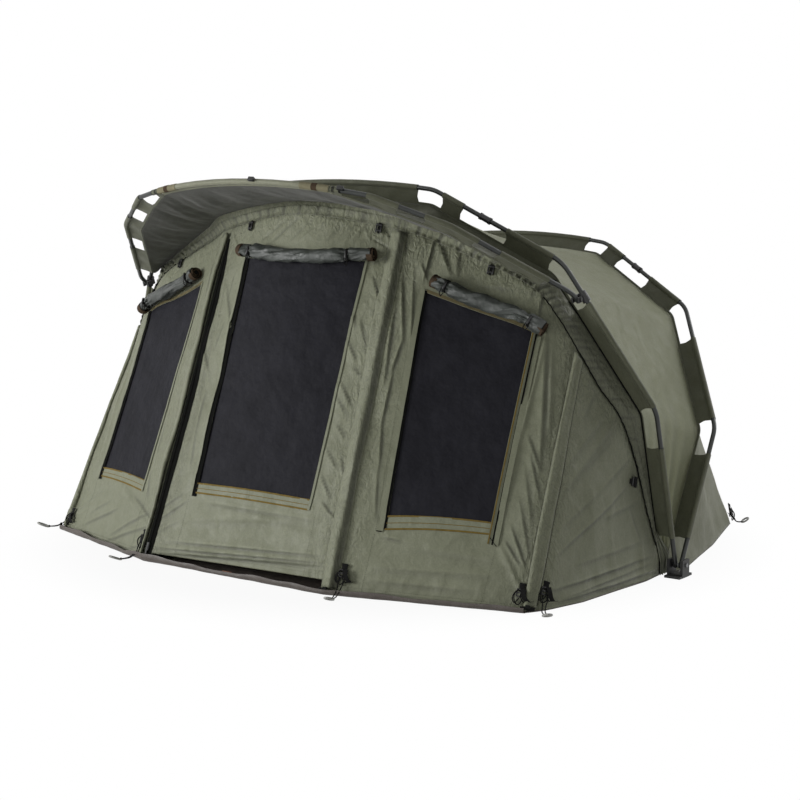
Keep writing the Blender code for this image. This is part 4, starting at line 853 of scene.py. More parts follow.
class Wall:
    """A panel of the front wall: a ruled surface with its creases."""

    def __init__(self, name, edges, side, folds, blocks, window, seed, shade=(0.08, 0.0, 0.0), lifted=None):
        self.name, self.side, self.window, self.seed = name, side, window, seed
        self.low, self.high = edges
        self.folds, self.blocks, self.shade, self.lifted = folds, blocks, shade, lifted
        self.wide = float(np.linalg.norm(self.low(1.0) - self.low(0.0)))
        self.tall = float(np.linalg.norm(self.high(0.5) - self.low(0.5)))

    def spot(self, u, v):
        u = np.clip(np.asarray(u, float), 0, 1)
        return flip(mix(self.low(u), self.high(u), col(v)), self.side)

    def up(self, u, v, step=0.01):
        return self.spot(u, np.asarray(v) + step) - self.spot(u, np.asarray(v) - step)

    def out(self, u, v, step=0.01):
        across = self.spot(np.minimum(u + step, 1), v) - self.spot(np.maximum(u - step, 0), v)
        normal = unit(np.cross(across, self.up(u, v)))
        lean = ((self.spot(u, v) - CABIN) * normal).sum(-1, keepdims=True)
        return np.where(lean > 0, normal, -normal)

    def gathered(self, u, v):
        """How much the cloth is gathered: fully along its seams and its top."""
        return np.minimum(bell(np.minimum(u, 1 - u) * self.wide, 0.09) + bell((1 - v) * self.tall, 0.10), 1)

    def folded(self, u, v):
        """How far the cloth stands off its even surface, and how much painted shade it gets in its creases
        and near its edges.
        """
        points = self.spot(u, v)
        edges = np.minimum(u, 1 - u) * self.wide, v * self.tall, (1 - v) * self.tall
        free = math.prod(ease(edge / 0.03) for edge in edges)
        lift = waves(points, 0.42, self.seed) * 0.005
        lift = lift + creases(points, 0.20, self.seed + 3, (1, 1, 2.2)) * 0.0036
        lift = lift + creases(points, 0.085, self.seed + 5, (1, 1, 1.6)) * 0.0017
        lift = lift + creases(points, 0.036, self.seed + 9, (1, 1, 0.7)) * 0.0012 * self.gathered(u, v)
        # Painted shade: an even darkening of the whole panel, with more near its left and its right edge,
        # where the cloth lies in shadow
        even, left, right = self.shade
        painted_shade = even + left * bell(u, 0.13) + right * bell(1 - u, 0.20) + 0 * lift
        for fold in self.folds:
            u0, v0, u1, v1, width, height, reach = np.array(fold) / 1000
            out = self.out((u0 + u1) / 2, (v0 + v1) / 2)
            more, shade = fold_over(points, self.spot(u0, v0), self.spot(u1, v1), width, height, reach, out)
            lift, painted_shade = lift + more, 1 - (1 - painted_shade) * (1 - shade)
        if self.window:
            (a, b), (c, d), (e, f), (g, h) = self.window
            inside_u = np.minimum(u - min(a, e) + 0.02, max(c, g) + 0.01 - u)
            inside_v = np.minimum(v - b + 0.015, f + 0.015 - v)
            lift = lift * (1 - 0.75 * ease(np.minimum(inside_u, inside_v) / 0.04))
        return lift * free, painted_shade

    def place(self, u, v, lift=0.0):
        """Places on the creased cloth, or lifted off it."""
        u, v = np.broadcast_arrays(np.asarray(u, float), np.asarray(v, float))
        return self.spot(u, v) + self.out(u, v) * col(self.folded(u, v)[0] + lift)

    def shares(self):
        """Shares across and up at each grid point, with the window's edges on grid lines."""
        across, up = (np.concatenate([[0], np.cumsum(b)]) for b in self.blocks)
        c, r = np.meshgrid(np.arange(across[-1] + 1), np.arange(up[-1] + 1))
        if not self.window:
            return c / across[-1], r / up[-1] * (0.45 + 0.55 * r / up[-1]), None
        (u0, v0), (u1, v1), (u2, v2), (u3, v3) = self.window
        nodes = np.array((
            ((0, 0), (u0, 0), (u1, 0), (1, 0)), ((0, v0), (u0, v0), (u1, v1), (1, v1)),
            ((0, v2), (u2, v2), (u3, v3), (1, v3)), ((0, 1), (u2, 1), (u3, 1), (1, 1)),
        ), float)
        i = np.clip(np.searchsorted(across, c, "right") - 1, 0, 2)
        j = np.clip(np.searchsorted(up, r, "right") - 1, 0, 2)
        s = (c - across[i]) / (across[i + 1] - across[i])
        t = (r - up[j]) / (up[j + 1] - up[j])
        low, high = (mix(nodes[k, i], nodes[k, i + 1], col(s)) for k in (j, j + 1))
        uv = mix(low, high, col(t))
        level = self.level((u2, v2), (u3, v3), s)[1] - mix(v2, v3, s)
        uv[..., 1] += np.where((i == 1) & (j > 0), level * np.where(j == 1, t, 1 - t), 0)
        return uv[..., 0], uv[..., 1], ((across[1], across[2]), (up[1], up[2]))

    def level(self, start, end, t):
        """Shares along a line whose height runs evenly between two places."""
        height = mix(self.spot(*start)[2], self.spot(*end)[2], t)
        u = mix(start[0], end[0], t)
        low, high = self.low(u)[..., 2], self.high(u)[..., 2]
        return u, (height - low) / (high - low)

    def cloth(self):
        u, v, hole = self.shares()
        if self.lifted:
            v = v + mix(*self.lifted, u) * ease(np.minimum(u, 1 - u) / 0.03) * np.clip(1 - v / 0.18, 0, 1)
        painted_shade = self.folded(u, v)[1] * 0.85
        points = self.place(u, v)
        return drape(self.name + "_cloth", points, SHELL, painted_shade, self.gathered(u, v), hole=hole)

    def net(self, name):
        (a, b), (c, d), (e, f), (g, h) = self.window
        s, t = np.meshgrid(np.linspace(-0.03, 1.03, 25), np.linspace(-0.025, 1.025, 33))
        u = mix(mix(a, c, s), mix(e, g, s), t)
        v = mix(mix(b, d, s), self.level((e, f), (g, h), s)[1], t)
        sag = 0.004 * np.sin(np.pi * np.clip(s, 0, 1)) * np.sin(np.pi * np.clip(t, 0, 1))
        points = self.place(u, v, -0.0026) - self.out(u, v) * col(sag)
        return drape(name, points, NET, thick=NET_CLOTH)

    def ribbon(self, batch, places, half, lift, finish=0, count=60):
        """A flat tape on the panel along a line of shares."""
        u, v = spread(places, count).T
        side = unit(np.cross(unit(np.gradient(self.spot(u, v), axis=0)), self.out(u, v)))
        rows = [self.place(u, v, lift) + side * half * offset for offset in np.linspace(-1, 1, 4)]
        batch.strip(np.stack(rows, 1), finish=finish)

    def thread(self, start, end):
        """A line for stitches on the panel."""
        return self.place(*spread([start, end], 160).T, 0.0007)


def window_low(u):
    return mix(DOOR_HEM, WING_HEM[0], col(u))


def window_high(u):
    return wall_edge(mix(DOOR_STATION, WINDOW_STATION, np.asarray(u)))


def wing_low(u):
    return along(WING_HEM, np.asarray(u))


def wing_high(u):
    return wall_edge(mix(WINDOW_STATION, LAST_STATION, np.asarray(u)))


def door_low(u):
    return mix(flip(DOOR_HEM), DOOR_HEM, col(u))


def door_high(u):
    share = np.asarray(u) * 2 - 1
    points = wall_edge(np.abs(share) * DOOR_STATION)
    return np.where(col(share < 0), flip(points), points)


# Folds and tucks in thousandths: two ends as shares, width and height, and how far a tuck takes to fade
DOOR_FOLDS = (
    (103, 60, 943, 92, 4, 7, 30), (7, 35, 960, 75, 4, 8, 22), (13, 22, 990, 68, 4, 9, 20),
    (160, 122, 900, 177, 12, 5, 45),
    (273, 180, 887, 180, 6, 5, 30), (23, 118, 167, 182, 4, 5, 18), (0, 143, 133, 200, 4, 4, 16),
    (23, 80, 147, 122, 4, 3, 14), (360, 917, 503, 983, 4, -7, 0), (290, 927, 433, 980, 4, -5, 0),
    (473, 917, 577, 978, 4, -4, 0), (533, 915, 640, 975, 5, 5, 0), (173, 885, 17, 978, 5, 5, 0),
    (223, 932, 260, 990, 4, 5, 0), (1000, 955, 890, 1000, 5, -6, 0), (990, 932, 870, 953, 4, -5, 0),
    (780, 932, 827, 993, 5, 6, 0), (680, 925, 733, 978, 5, -4, 0), (1000, 995, 930, 1000, 4, -5, 0),
    (57, 883, 90, 675, 8, 5, 0), (267, 613, 83, 810, 4, 6, 16), (127, 527, 0, 647, 4, 5, 16),
    (117, 380, 120, 497, 4, 5, 14), (137, 265, 113, 395, 4, 4, 14), (130, 763, 137, 853, 4, -4, 0),
    (120, 615, 150, 703, 4, -4, 0), (1000, 768, 910, 850, 4, 8, 18), (920, 613, 850, 667, 4, 7, 14),
    (943, 487, 863, 550, 4, 7, 14), (920, 468, 857, 508, 4, 6, 12), (957, 650, 897, 728, 4, 6, 14),
    (893, 888, 1000, 922, 4, 5, 14), (983, 568, 903, 595, 4, 5, 12), (930, 320, 853, 372, 4, 6, 14),
    (940, 403, 880, 438, 4, 6, 12), (933, 240, 857, 297, 4, 7, 14), (977, 190, 890, 230, 4, 6, 12),
    (983, 297, 930, 360, 4, 5, 12), (883, 698, 840, 763, 4, 6, 14), (1000, 667, 957, 755, 4, 5, 14),
    (990, 487, 950, 552, 4, 4, 12), (250, 200, 900, 130, 20, 4, 0), (80, 700, 100, 300, 13, -5, 0),
)
WINDOW_FOLDS = (
    (40, 917, 27, 1000, 4, 10, 20), (127, 685, 43, 878, 4, 11, 20), (93, 605, 117, 698, 4, 9, 18),
    (70, 565, 43, 800, 5, 9, 22), (100, 458, 100, 605, 4, 9, 18), (140, 340, 97, 473, 4, 7, 18),
    (173, 677, 93, 897, 4, 6, 16), (170, 205, 130, 352, 5, 5, 18), (160, 873, 173, 1000, 4, 9, 18),
    (283, 912, 190, 1000, 4, 12, 22), (303, 917, 290, 1000, 4, 10, 20), (183, 875, 123, 920, 4, 6, 12),
    (343, 975, 300, 1000, 5, 5, 14), (403, 922, 550, 958, 6, 4, 14), (473, 955, 503, 935, 5, 5, 12),
    (917, 495, 760, 890, 8, 10, 22), (803, 895, 927, 610, 8, 6, 0), (947, 155, 833, 270, 4, 8, 14),
    (920, 490, 797, 575, 4, 7, 14), (960, 383, 830, 530, 4, 6, 14), (920, 152, 813, 223, 4, 7, 12),
    (963, 182, 840, 367, 4, 5, 14), (947, 288, 827, 468, 5, 5, 14), (227, 165, 323, 160, 4, 6, 14),
    (207, 77, 833, 103, 8, 5, 30), (183, 43, 757, 48, 7, 5, 22), (180, 13, 573, 10, 5, 4, 14),
    (370, 145, 817, 152, 10, 4, 30), (600, 950, 610, 1000, 5, 6, 12), (667, 920, 657, 1000, 4, 8, 14),
    (750, 960, 755, 300, 10, 6, 0), (970, 50, 800, 200, 12, 7, 0), (420, 990, 400, 930, 8, 5, 0),
)
LEFT_FOLDS = (
    (527, 0, 47, 95, 4, 6, 20), (450, 33, 83, 133, 4, 6, 18), (767, 40, 420, 125, 4, 6, 18),
    (727, 92, 530, 147, 4, 4, 14), (60, 110, 290, 168, 4, 5, 14), (163, 163, 200, 255, 4, 5, 12),
    (167, 302, 183, 413, 4, 5, 12), (233, 510, 263, 642, 4, 4, 12), (300, 662, 257, 805, 5, 4, 14),
    (80, 780, 87, 900, 4, 4, 12), (427, 870, 430, 943, 4, 4, 10), (287, 0, 97, 33, 4, 4, 12),
    (30, 80, 450, 200, 16, 6, 0), (960, 60, 600, 180, 14, 6, 0), (300, 985, 270, 910, 6, 6, 0),
    (170, 850, 160, 250, 10, 5, 0), (840, 900, 830, 300, 12, 6, 0), (550, 985, 500, 920, 6, 6, 0),
)
WING_FOLDS = (
    (97, 212, 597, 750, 5, 7, 20), (60, 440, 383, 927, 10, 8, 30), (43, 532, 267, 870, 8, 5, 22),
    (367, 408, 687, 870, 6, 5, 18), (87, 72, 813, 608, 4.5, 10, 18), (147, 22, 927, 400, 4.5, 12, 14),
    (233, 173, 753, 675, 6, 5, 18), (200, 35, 833, 485, 4, 5, 12), (200, 603, 367, 830, 6, 4, 18),
    (330, 552, 610, 1000, 6, 5, 18), (93, 315, 330, 552, 6, 4, 20), (730, 520, 613, 623, 6, 5, 20),
    (127, 785, 187, 970, 6, 5, 16), (23, 807, 23, 1000, 6, 5, 16), (720, 620, 800, 120, 13, 6, 0),
    (300, 950, 100, 600, 12, 5, 0),
)

# Each panel's edges, side, folds, rows and columns, window, seed, painted shade (even, near the left edge,
# near the right edge) and the door's lifted hem
DOOR = Wall("door_panel", (door_low, door_high), 1, DOOR_FOLDS, ((40, 64, 36), (60, 84, 34)), DOOR_WINDOW, 11,
            (0.0, 0.26, 0.0), (0.019, 0.033))
RIGHT = Wall("window_panel_right", (window_low, window_high), 1, WINDOW_FOLDS, ((46, 46, 56), (56, 72, 42)),
             SIDE_WINDOW, 23, (0.0, 0.0, 0.24))
LEFT = Wall("window_panel_left", (window_low, window_high), -1, LEFT_FOLDS, ((32, 38, 34), (46, 54, 28)),
            SIDE_WINDOW, 37)
RIGHT_WING = Wall("front_wing_right", (wing_low, wing_high), 1, WING_FOLDS, ((110,), (124,)), None, 41)
LEFT_WING = Wall("front_wing_left", (wing_low, wing_high), -1, WING_FOLDS, ((80,), (90,)), None, 53)
PANELS = (DOOR, RIGHT, LEFT, RIGHT_WING, LEFT_WING)
WALLS = {1: (RIGHT, RIGHT_WING), -1: (LEFT, LEFT_WING)}


def front_wall():
    for panel in PANELS:
        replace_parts(panel.cloth(), panel.name)
    for name, panel in (("door_mesh", DOOR), ("window_mesh_right", RIGHT), ("window_mesh_left", LEFT)):
        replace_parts(panel.net(name + "_net"), name)


# Seams of the front wall


def seam_place(side, seam, distance, v, lift):
    """A place across a seam: its distance from the seam and its lift off the cloth."""
    before, after = (DOOR, WALLS[side][0]) if seam == "door" else WALLS[side]
    distance, v, lift = np.broadcast_arrays(*(np.asarray(a, float) for a in (distance, v, lift)))
    width_a = np.linalg.norm(before.spot(0.9, v) - before.spot(1.0, v), axis=-1) * 10
    width_b = np.linalg.norm(after.spot(0.1, v) - after.spot(0.0, v), axis=-1) * 10
    ua = 1 - np.clip(-distance, 0, None) / width_a
    if seam == "door" and side < 0:
        ua = 1 - ua
    ub = np.clip(distance, 0, None) / width_b
    normal = unit(mix(before.out(ua, v), after.out(ub, v), col(ease((distance + 0.008) / 0.016))))
    base = np.where(col(distance < 0), before.place(ua, v), after.place(ub, v))
    return base + normal * col(lift)


# Outlines across a seam, in millimetres: place across and lift, and the painted shade on it, on the face
# turned from the light and at the edges
STORM_RIDGE = (
    (-28, 0, .15), (-21, 4, 0), (-13, 8, 0), (-5, 12, 0), (3, 16, 0), (10, 19, .05), (15.5, 20, .25),
    (20, 17.5, .55), (25.5, 10.5, .70), (31, 4, .75), (36, 1.2, .45), (40, 0, .1))
CORNER_BAND = (
    (-20, 0, .45), (-16, 8.5, .05), (-10, 12.5, 0), (-3, 11.5, 0), (5, 8.5, .12), (12, 9, .12), (19, 11.5, 0),
    (26, 10.5, .10), (31, 6, .70), (34, 0, .75))


def seam_strip(node_name, side, seam, outline, head, ripple, seed):
    """A strip of cloth that runs along a seam."""
    across, lift, painted_shade = np.array(outline).T / np.array((1000, 1000, 1))[:, None]
    d, v = np.meshgrid(across, np.linspace(0.012, 1 - head, 90))
    flat = seam_place(side, seam, d, v, 0.0)
    rough = waves(flat, 0.16, seed, (1, 1, 2)) * ripple
    rough = rough + creases(flat, 0.06, seed + 2, (1, 1, 3)) * ripple * 0.8
    points = seam_place(side, seam, d, v, lift + lift / lift.max() * rough + CLOTH + 0.0006)
    # Painted shade in streaks along the strip
    painted_streaks = 1 + 0.35 * creases(flat, 0.10, seed + 4, (1, 1, 4))
    strip = drape(node_name + "_cloth", points, SHELL, painted_shade * painted_streaks, 0.6)
    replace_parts(strip, node_name)


def seams():
    """Zips, flaps and bands along the four seams."""
    seam_strip("storm_flap_right", 1, "door", STORM_RIDGE, 0.015, 0.0025, 61)
    for side, label in SIDES:
        seam_strip(f"seam_band_{label}", side, "corner", CORNER_BAND, 0.030, 0.0012, 81)
    v = np.linspace(0.012, 0.975, 100)
    bow = ZIP_BOW * np.sin(np.pi * v)
    half = 0.020 * ease((0.985 - v) / 0.14) + 0.002
    run = np.linspace(0, 1, 9)
    opened = col(half - bow) + 0.002 + (0.056 - col(half - bow)) * run
    high = np.interp(run, (0, 0.05, 0.2, 0.45, 0.7, 0.9, 1), (0.010, 0.016, 0.0185, 0.013, 0.008, 0.004, 0.0))
    flat = seam_place(-1, "door", opened, col(v), 0.0)
    ripple = waves(flat, 0.2, 71, (1, 1, 2)) * 0.002 + creases(flat, 0.07, 73, (1, 1, 3)) * 0.0015
    ripple = ripple * (high > 0)
    points = seam_place(-1, "door", opened, col(v), high + ripple + 0.0015)
    # Painted shade on the opened flap: darker at its free edge by the zip and where it meets the panel
    painted_shade = np.interp(run, (0, 0.06, 0.8, 1), (0.5, 0.0, 0.0, 0.35))
    flap = drape("storm_flap_left_cloth", points, SHELL, painted_shade)
    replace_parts(flap, "storm_flap_left")
    zips = Batch("door_zip_tapes", ZIP)
    coils = []
    v = np.minimum(v, 0.955)
    # The left tape widens downwards under the opened flap: partly real black zip tape, partly a painted
    # shadow in the slit beside it
    for side, wide, shift in ((1, ZIP_HALF, 0 * bow), (-1, half, bow)):
        rows = [seam_place(side, "door", wide * k - shift, v, 0.0012) for k in (-1.0, -0.5, 0.0, 0.5, 1.0)]
        zips.strip(np.stack(rows, 1), 0.0010)
        coils.append(seam_place(side, "door", -shift * 0.6, v, 0.0040))
    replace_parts(zips.made(), "door_zip_left", "door_zip_right")
    along_paths("door_zip_teeth", TEETH, coils, Pitch=TOOTH_PITCH, Width=TOOTH_WIDTH, Finish=COIL)
    v = np.linspace(0.02, 0.965, 110)
    sewn = [seam_place(side, "corner", d, v, 0.0006) for side in (1, -1) for d in (-0.023, 0.038)]
    stitches("corner_stitches", sewn)
    # A dark cord along the band's outer edge: piping, which also stands in for the shadow line there
    piped = [seam_place(side, "corner", 0.0355, v, 0.0008) for side in (1, -1)]
    rods("corner_piping_and_shadow_line", piped, 0.0016, THREAD, sides=6)


# The arch


def on_walls(signed, v, lift):
    """Places on the front wall by station of the arch, positive on the right, and share up the panel."""
    signed, v, lift = np.broadcast_arrays(*(np.asarray(a, float) for a in (signed, v, lift)))
    s = np.abs(signed)
    panels = np.where(s <= DOOR_STATION, 0, np.where(s <= WINDOW_STATION, 1, 2))
    window = (s - DOOR_STATION) / (WINDOW_STATION - DOOR_STATION)
    wing = (s - WINDOW_STATION) / (LAST_STATION - WINDOW_STATION)
    share = np.choose(panels, ((signed + 1) / 2, window, wing))
    found = np.zeros((*signed.shape, 3))
    for panel, number, side in zip(PANELS, (0, 1, 1, 2, 2), (0, 1, -1, 1, -1)):
        mask = (panels == number) & ((signed * side > 0) | (side == 0))
        if mask.any():
            found[mask] = panel.place(share[mask], v[mask], lift[mask])
    return found


def arch():
    """The zip flap over the joint of wall and roof, gathered along its lower edge."""
    end = LAST_STATION * 0.92
    signed = np.linspace(-end, end, 521)
    s = np.abs(signed)
    edge = roof_edge(s) * on_sides(signed)
    top = on_walls(signed, 1.0, 0.0022)
    tall = np.linalg.norm(on_walls(signed, 1.0, 0) - on_walls(signed, 0.0, 0), axis=1)
    run = run_of(top) * TAU
    gather = np.sin(run / 0.031) + 0.7 * np.sin(run / 0.047 + 1.3) + 0.6 * np.sin(run / 0.083 + 2)
    gather *= 0.0017 * (1 + 1.9 * bell(s - 3.6, 0.9)) * (1 - 0.5 * ease((s - 5) / 2))
    away = unit(mix(edge, top, 0.5) - CABIN)
    rows = []
    for t in np.linspace(0, 1, 14):
        puff = math.sin(math.pi * t) * 0.006 + gather * min(1, 2.4 * t) + (0.0028 if t > 0.60 else 0)
        rows.append(mix(edge, top, t) + away * col(puff * (t > 0)))
    for drop in (0.003, 0.007, 0.011, 0.015):
        rows.append(on_walls(signed, 1 - drop / tall, np.maximum(0.0045 + gather, 0.0015)))
    across = col(np.linspace(0, 1, len(rows)))
    # Painted shade: in the puckers of the gathered edge, along the stitch line and both edges of the flap,
    # and on its far parts, which lie in shadow under the hood
    pucker = np.clip(-gather / 0.0030, 0, 0.7) * np.clip(3.5 * across - 0.6, 0, 1)
    line = 0.55 * bell(across - 0.50, 0.03) + 0.5 * bell(across - 1, 0.05) + 0.5 * bell(across, 0.03)
    painted_side_shade = 0.38 * ease((signed - 3.0) / 0.8) + 0.28 * ease((-1 - signed) / 1.0)
    painted_shade = 1 - (1 - pucker) * (1 - line) * (1 - painted_side_shade)
    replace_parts(drape("arch_flap_cloth", np.array(rows), SHELL, painted_shade, 0.8), "arch_flap")
    stitches("arch_stitches", [rows[8] + away * 0.0010, rows[-2] + away * 0.0010])
    # Black cords along the flap's edges on its far parts: partly a zip's dark tape, partly a painted shadow
    # line along the edges
    lines = ((rows[-1] + away * 0.0012, 4.3), (edge + away * 0.002, 4.6))
    piped = [line[signed * side > start] for line, start in lines for side in (1, -1)]
    rods("arch_piping_and_shadow_lines", piped, [0.0024] * 2 + [0.0028] * 2, ZIP, sides=8)


def foot_gathers():
    """The cloth bunched up beside each hinge block, between the wing, the roof and the back."""
    end, last = np.array([LAST_STATION * 0.905]), np.array([1.0])
    front = np.vstack([wall_edge(end), wing_high(last), wing_low(last)])
    behind = stand(REAR, shell_line(REAR, ROOF_START)[:1], SEAM_SIDE)
    rear = np.vstack([roof_edge(end), behind, SIDE_HEM[:1] + UP * 0.003])
    t = np.linspace(0, 1, 40)
    down = col(t)
    line = mix(spread(front, 40)[:, None], spread(rear, 40)[:, None], t[None, :, None])
    fold = np.sin(TAU * 2.6 * t + 2.5 * down) + 0.6 * np.sin(TAU * 5.3 * t - 3 * down + 1)
    lift = 0.007 + 0.0035 * fold * np.sin(np.pi * np.clip(t, 0.03, 0.97)) ** 0.4
    for side, label in SIDES:
        # Painted shade over the gathers: darker all over, most in the hollows of the folds
        drape(f"foot_gathers_{label}", flip(line + unit(line - CABIN) * col(lift), side), SHELL,
              0.55 - 0.30 * fold)


def roof_strip():
    """The strip of roof between the main rib and the arch."""
    signed = np.linspace(-ROOF_STATION, ROOF_STATION, 181)
    s = np.abs(signed)
    share = np.interp(s, np.arange(len(ARCH)), ARCH[:, 0])
    back = (base_at(share) + front_of(MAIN) * SEAM_SIDE) * on_sides(signed)
    edge = roof_edge(s) * on_sides(signed)
    rows = []
    for t in np.linspace(0, 1, 13):
        line = mix(edge, back, t)
        lift = (waves(line, 0.2, 91) * 0.003 - 0.006) * math.sin(math.pi * t)
        rows.append(line + unit(line - CABIN) * col(lift))
    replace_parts(drape("roof_front_cloth", np.array(rows), WEB), "roof_front")


# Roof, back and hood


def blended(obj, node_name):
    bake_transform(obj)
    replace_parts(obj, node_name)


def roof():
    a, b = (stand(rib, spread(both_halves(shell_line(rib, ROOF_START)), 171), side * SEAM_SIDE)
            for rib, side in ((MAIN, -1), (REAR, 1)))
    reach = np.linalg.norm(b - a, axis=1)
    gathers = np.sin(run_of(a) * TAU / 0.16) * 0.003
    rows, painted_shade = [], []
    for t in np.linspace(0, 1, 61):
        line = mix(a, b, t)
        bow = math.sin(math.pi * t) ** 0.8
        ripple = waves(line, 0.35, 101, (1, 2.4, 1)) * 0.004 + creases(line, 0.16, 107, (1, 3, 1)) * 0.0022
        near = (math.exp(-t / 0.10) + math.exp(-(1 - t) / 0.10)) * min(1.0, 9 * min(t, 1 - t))
        low = np.hypot(line[:, 1], line[:, 2])
        pleat = np.sin(39 * np.arctan2(line[:, 2], line[:, 1]) + 9 * low) * bell(low, 0.55) * bow
        sag = ROOF_SAG * 4 * t * (1 - t) * reach
        rows.append(line + unit(CABIN - line) * col(sag - ripple * bow - gathers * near - 0.005 * pleat))
        # Painted shade along the pleats near the feet: darker in their hollows, lighter on their crests
        painted_shade.append(-0.35 * pleat)
    panel = drape("roof_panel_cloth", np.array(rows), ROOF, np.array(painted_shade), body=None)
    blended(panel, "roof_panel")


def back_wall():
    shares = np.linspace(0, 1, 80)
    feet = np.where(col(shares <= BACK_CORNER), along(SIDE_HEM, shares / BACK_CORNER),
                    along(BACK_HEM, (shares - BACK_CORNER) / (1 - BACK_CORNER)))
    a = both_halves(stand(REAR, along(shell_line(REAR, HEM_START), shares), -SEAM_SIDE))
    b = both_halves(feet)
    rows = []
    for t in np.linspace(0, 1, 61):
        line = mix(a, b, t)
        sag = BACK_SAG * np.linalg.norm(b - a, axis=1) * 4 * t * (1 - t)
        ripple = waves(line, 0.34, 113) * 0.004 + creases(line, 0.17, 117, (1, 1, 2.5)) * 0.0026
        hang = np.sin(run_of(b) * TAU / 0.21) * 0.004 * math.exp(-(1 - t) / 0.18)
        rows.append(line + unit(CABIN - line) * col(sag - (ripple + hang) * min(1.0, 9 * t, 12 * (1 - t))))
    panel = drape("back_wall_cloth", np.array(rows), SHADED_BACK, body=None)
    blended(panel, "back_wall")


def full_depth(x):
    return FIN_DEPTH + 0 * x


def peak_depth(x):
    narrow, full = PEAK_NARROW
    reach = (np.abs(x) / bends(PEAK)[2][0] - narrow) / (full - narrow)
    return mix(SLEEVE_DEPTH, FIN_DEPTH, np.clip(reach, 0, 1))


def hood():
    """The hood, pleated from the arch forward to the peak rib."""
    line = along(half_rib(PEAK), mix(PEAK_FIN[0], 1.0, np.linspace(0, 1, 90)))
    front = line - outwards(line) * col(peak_depth(line[:, 0]) + SEAM_SIDE)
    share = run_of(line) / run_of(line)[-1]
    edge, tip = both_halves(roof_edge((1 - share) * ROOF_STATION)), both_halves(stand(PEAK, front))
    share = np.concatenate([share, share[-2::-1]])
    start = edge + unit(tip - edge) * 0.002
    rows = []
    for t in np.linspace(0, 1, 41):
        bow = 4 * t * (1 - t)
        even = mix(start, tip, t)
        fold = HOOD_PLEAT_DEEP * np.cos(TAU * HOOD_PLEATS * share / 2) * bow
        small = 0.0016 * np.sin(TAU * 43 * share / 2 + 1) * bow * (1 - t * 0.5)
        small = small + creases(even, 0.10, 131, (1, 3.5, 1)) * 0.0045 * bow
        drop = HOOD_SAG * np.linalg.norm(tip - start, axis=1) * bow + fold + small
        rows.append(even - UP * col(drop))
    cover = drape("peak_hood_cloth", np.array(rows), HOOD_TOP, under=HOOD_UNDER, body=None)
    blended(cover, "peak_hood")


def ground():
    """The groundsheet, with a slack front lip."""
    front = np.vstack([(0, DOOR_HEM[1]), DOOR_HEM[:2], WING_HEM[0][:2]]) - np.array((0, 0.012))
    outline = spread(np.vstack([front, WING_HEM[1:, :2], SIDE_HEM[:, :2], BACK_HEM[1:, :2]]), 160)
    ring = np.concatenate([outline, outline[-2:0:-1] * (-1, 1)])
    rows = []
    for t in np.linspace(0, 1, 24):
        flat = np.pad(ring * mix(1.0, 0.02, t), ((0, 0), (0, 1)))
        wave = (waves(flat, 0.12, 141) * 0.0016 + 0.0016) * ease((1 - t) * 40 - 37)
        rows.append(flat + UP * col(SHEET * 0.95 + wave * (flat[:, 1] < 0)))
    top = np.array(rows)
    made = Batch("groundsheet_vinyl", VINYL)
    made.rings(np.concatenate([(top * (1, 1, 0))[::-1], top]), 0, True)
    lip = np.pad(spread(np.vstack([front[::-1] * (-1, 1), front[1:]]), 220), ((0, 0), (0, 1)))
    wave, tall = waves(lip, 0.11, 143) * 0.0022, 1 + 0.25 * waves(lip, 0.25, 147)
    section = ((0.002, 0.0006), (0.012, 0.006), (0.015, 0.015), (0.011, 0.024))
    rows = [lip + np.array((0, -1, 0)) * col(out + wave) + UP * col(high * tall) for out, high in section]
    made.strip(np.stack(rows, 1))
    sheet = made.made()
    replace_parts(sheet, "groundsheet")


# Webs round the ribs


def rib_cuts(rib, half):
    run = run_of(half)[-1]
    cuts = [LEG_CUT, TOP_CUT]
    for number, share, (before, after) in ((0, KNUCKLE_SHARE, KNUCKLE_CUT), (1, LOCK_SHARE, LOCK_CUT)):
        at = share_near(half, turn_at(rib, number, share))
        cuts.append((at - before / run, at + after / run))
    return sorted(cuts)


def web_section(depth, wide=0.0011):
    """The cross-section of a webbed sleeve, down one side, round the tube and down the other."""
    slant = math.asin(wide / POCKET_R)
    angles = np.linspace(slant, TAU - slant, 15)
    arc = np.stack([-np.cos(angles) * POCKET_R, np.sin(angles) * POCKET_R], -1)
    down = col(np.linspace(0, 1, 8)[1:])
    first = np.concatenate([-mix(POCKET_R, depth, down), 0 * down + wide], 1)
    return np.vstack([first[::-1], arc, first * (1, -1)])


def tab(rib, whole, start, end, depth_at):
    """One tab of web between two cut-outs: a grid of points round the tube and down to the shell."""
    total = run_of(whole)[-1]
    shares = np.linspace(start, end, max(6, int((end - start) * total / TAB_STEP)))
    half_length = (end - start) * total / 2
    columns = []
    for share, spot, way in zip(shares, *rib_frame(whole, shares)):
        depth = float(depth_at(spot[0]))
        cut = web_section(depth)
        belly = np.sin(np.pi * np.clip((-cut[:, 0] - POCKET_R) / max(depth - POCKET_R, 1e-6), 0, 1))
        sway = math.sin((share - start) * total * TAU / 0.13 + 7) * WEB_SWAY * belly
        at_end = (share - (start + end) / 2) * total / half_length
        bow = -belly * WEB_BOW * at_end * abs(at_end) ** 3 * (half_length > 0.02)
        flat = spot + way * cut[:, :1] + np.array((-way[1], way[0])) * col(bow)
        columns.append(stand(rib, flat, cut[:, 1] + sway))
    return np.array(columns)


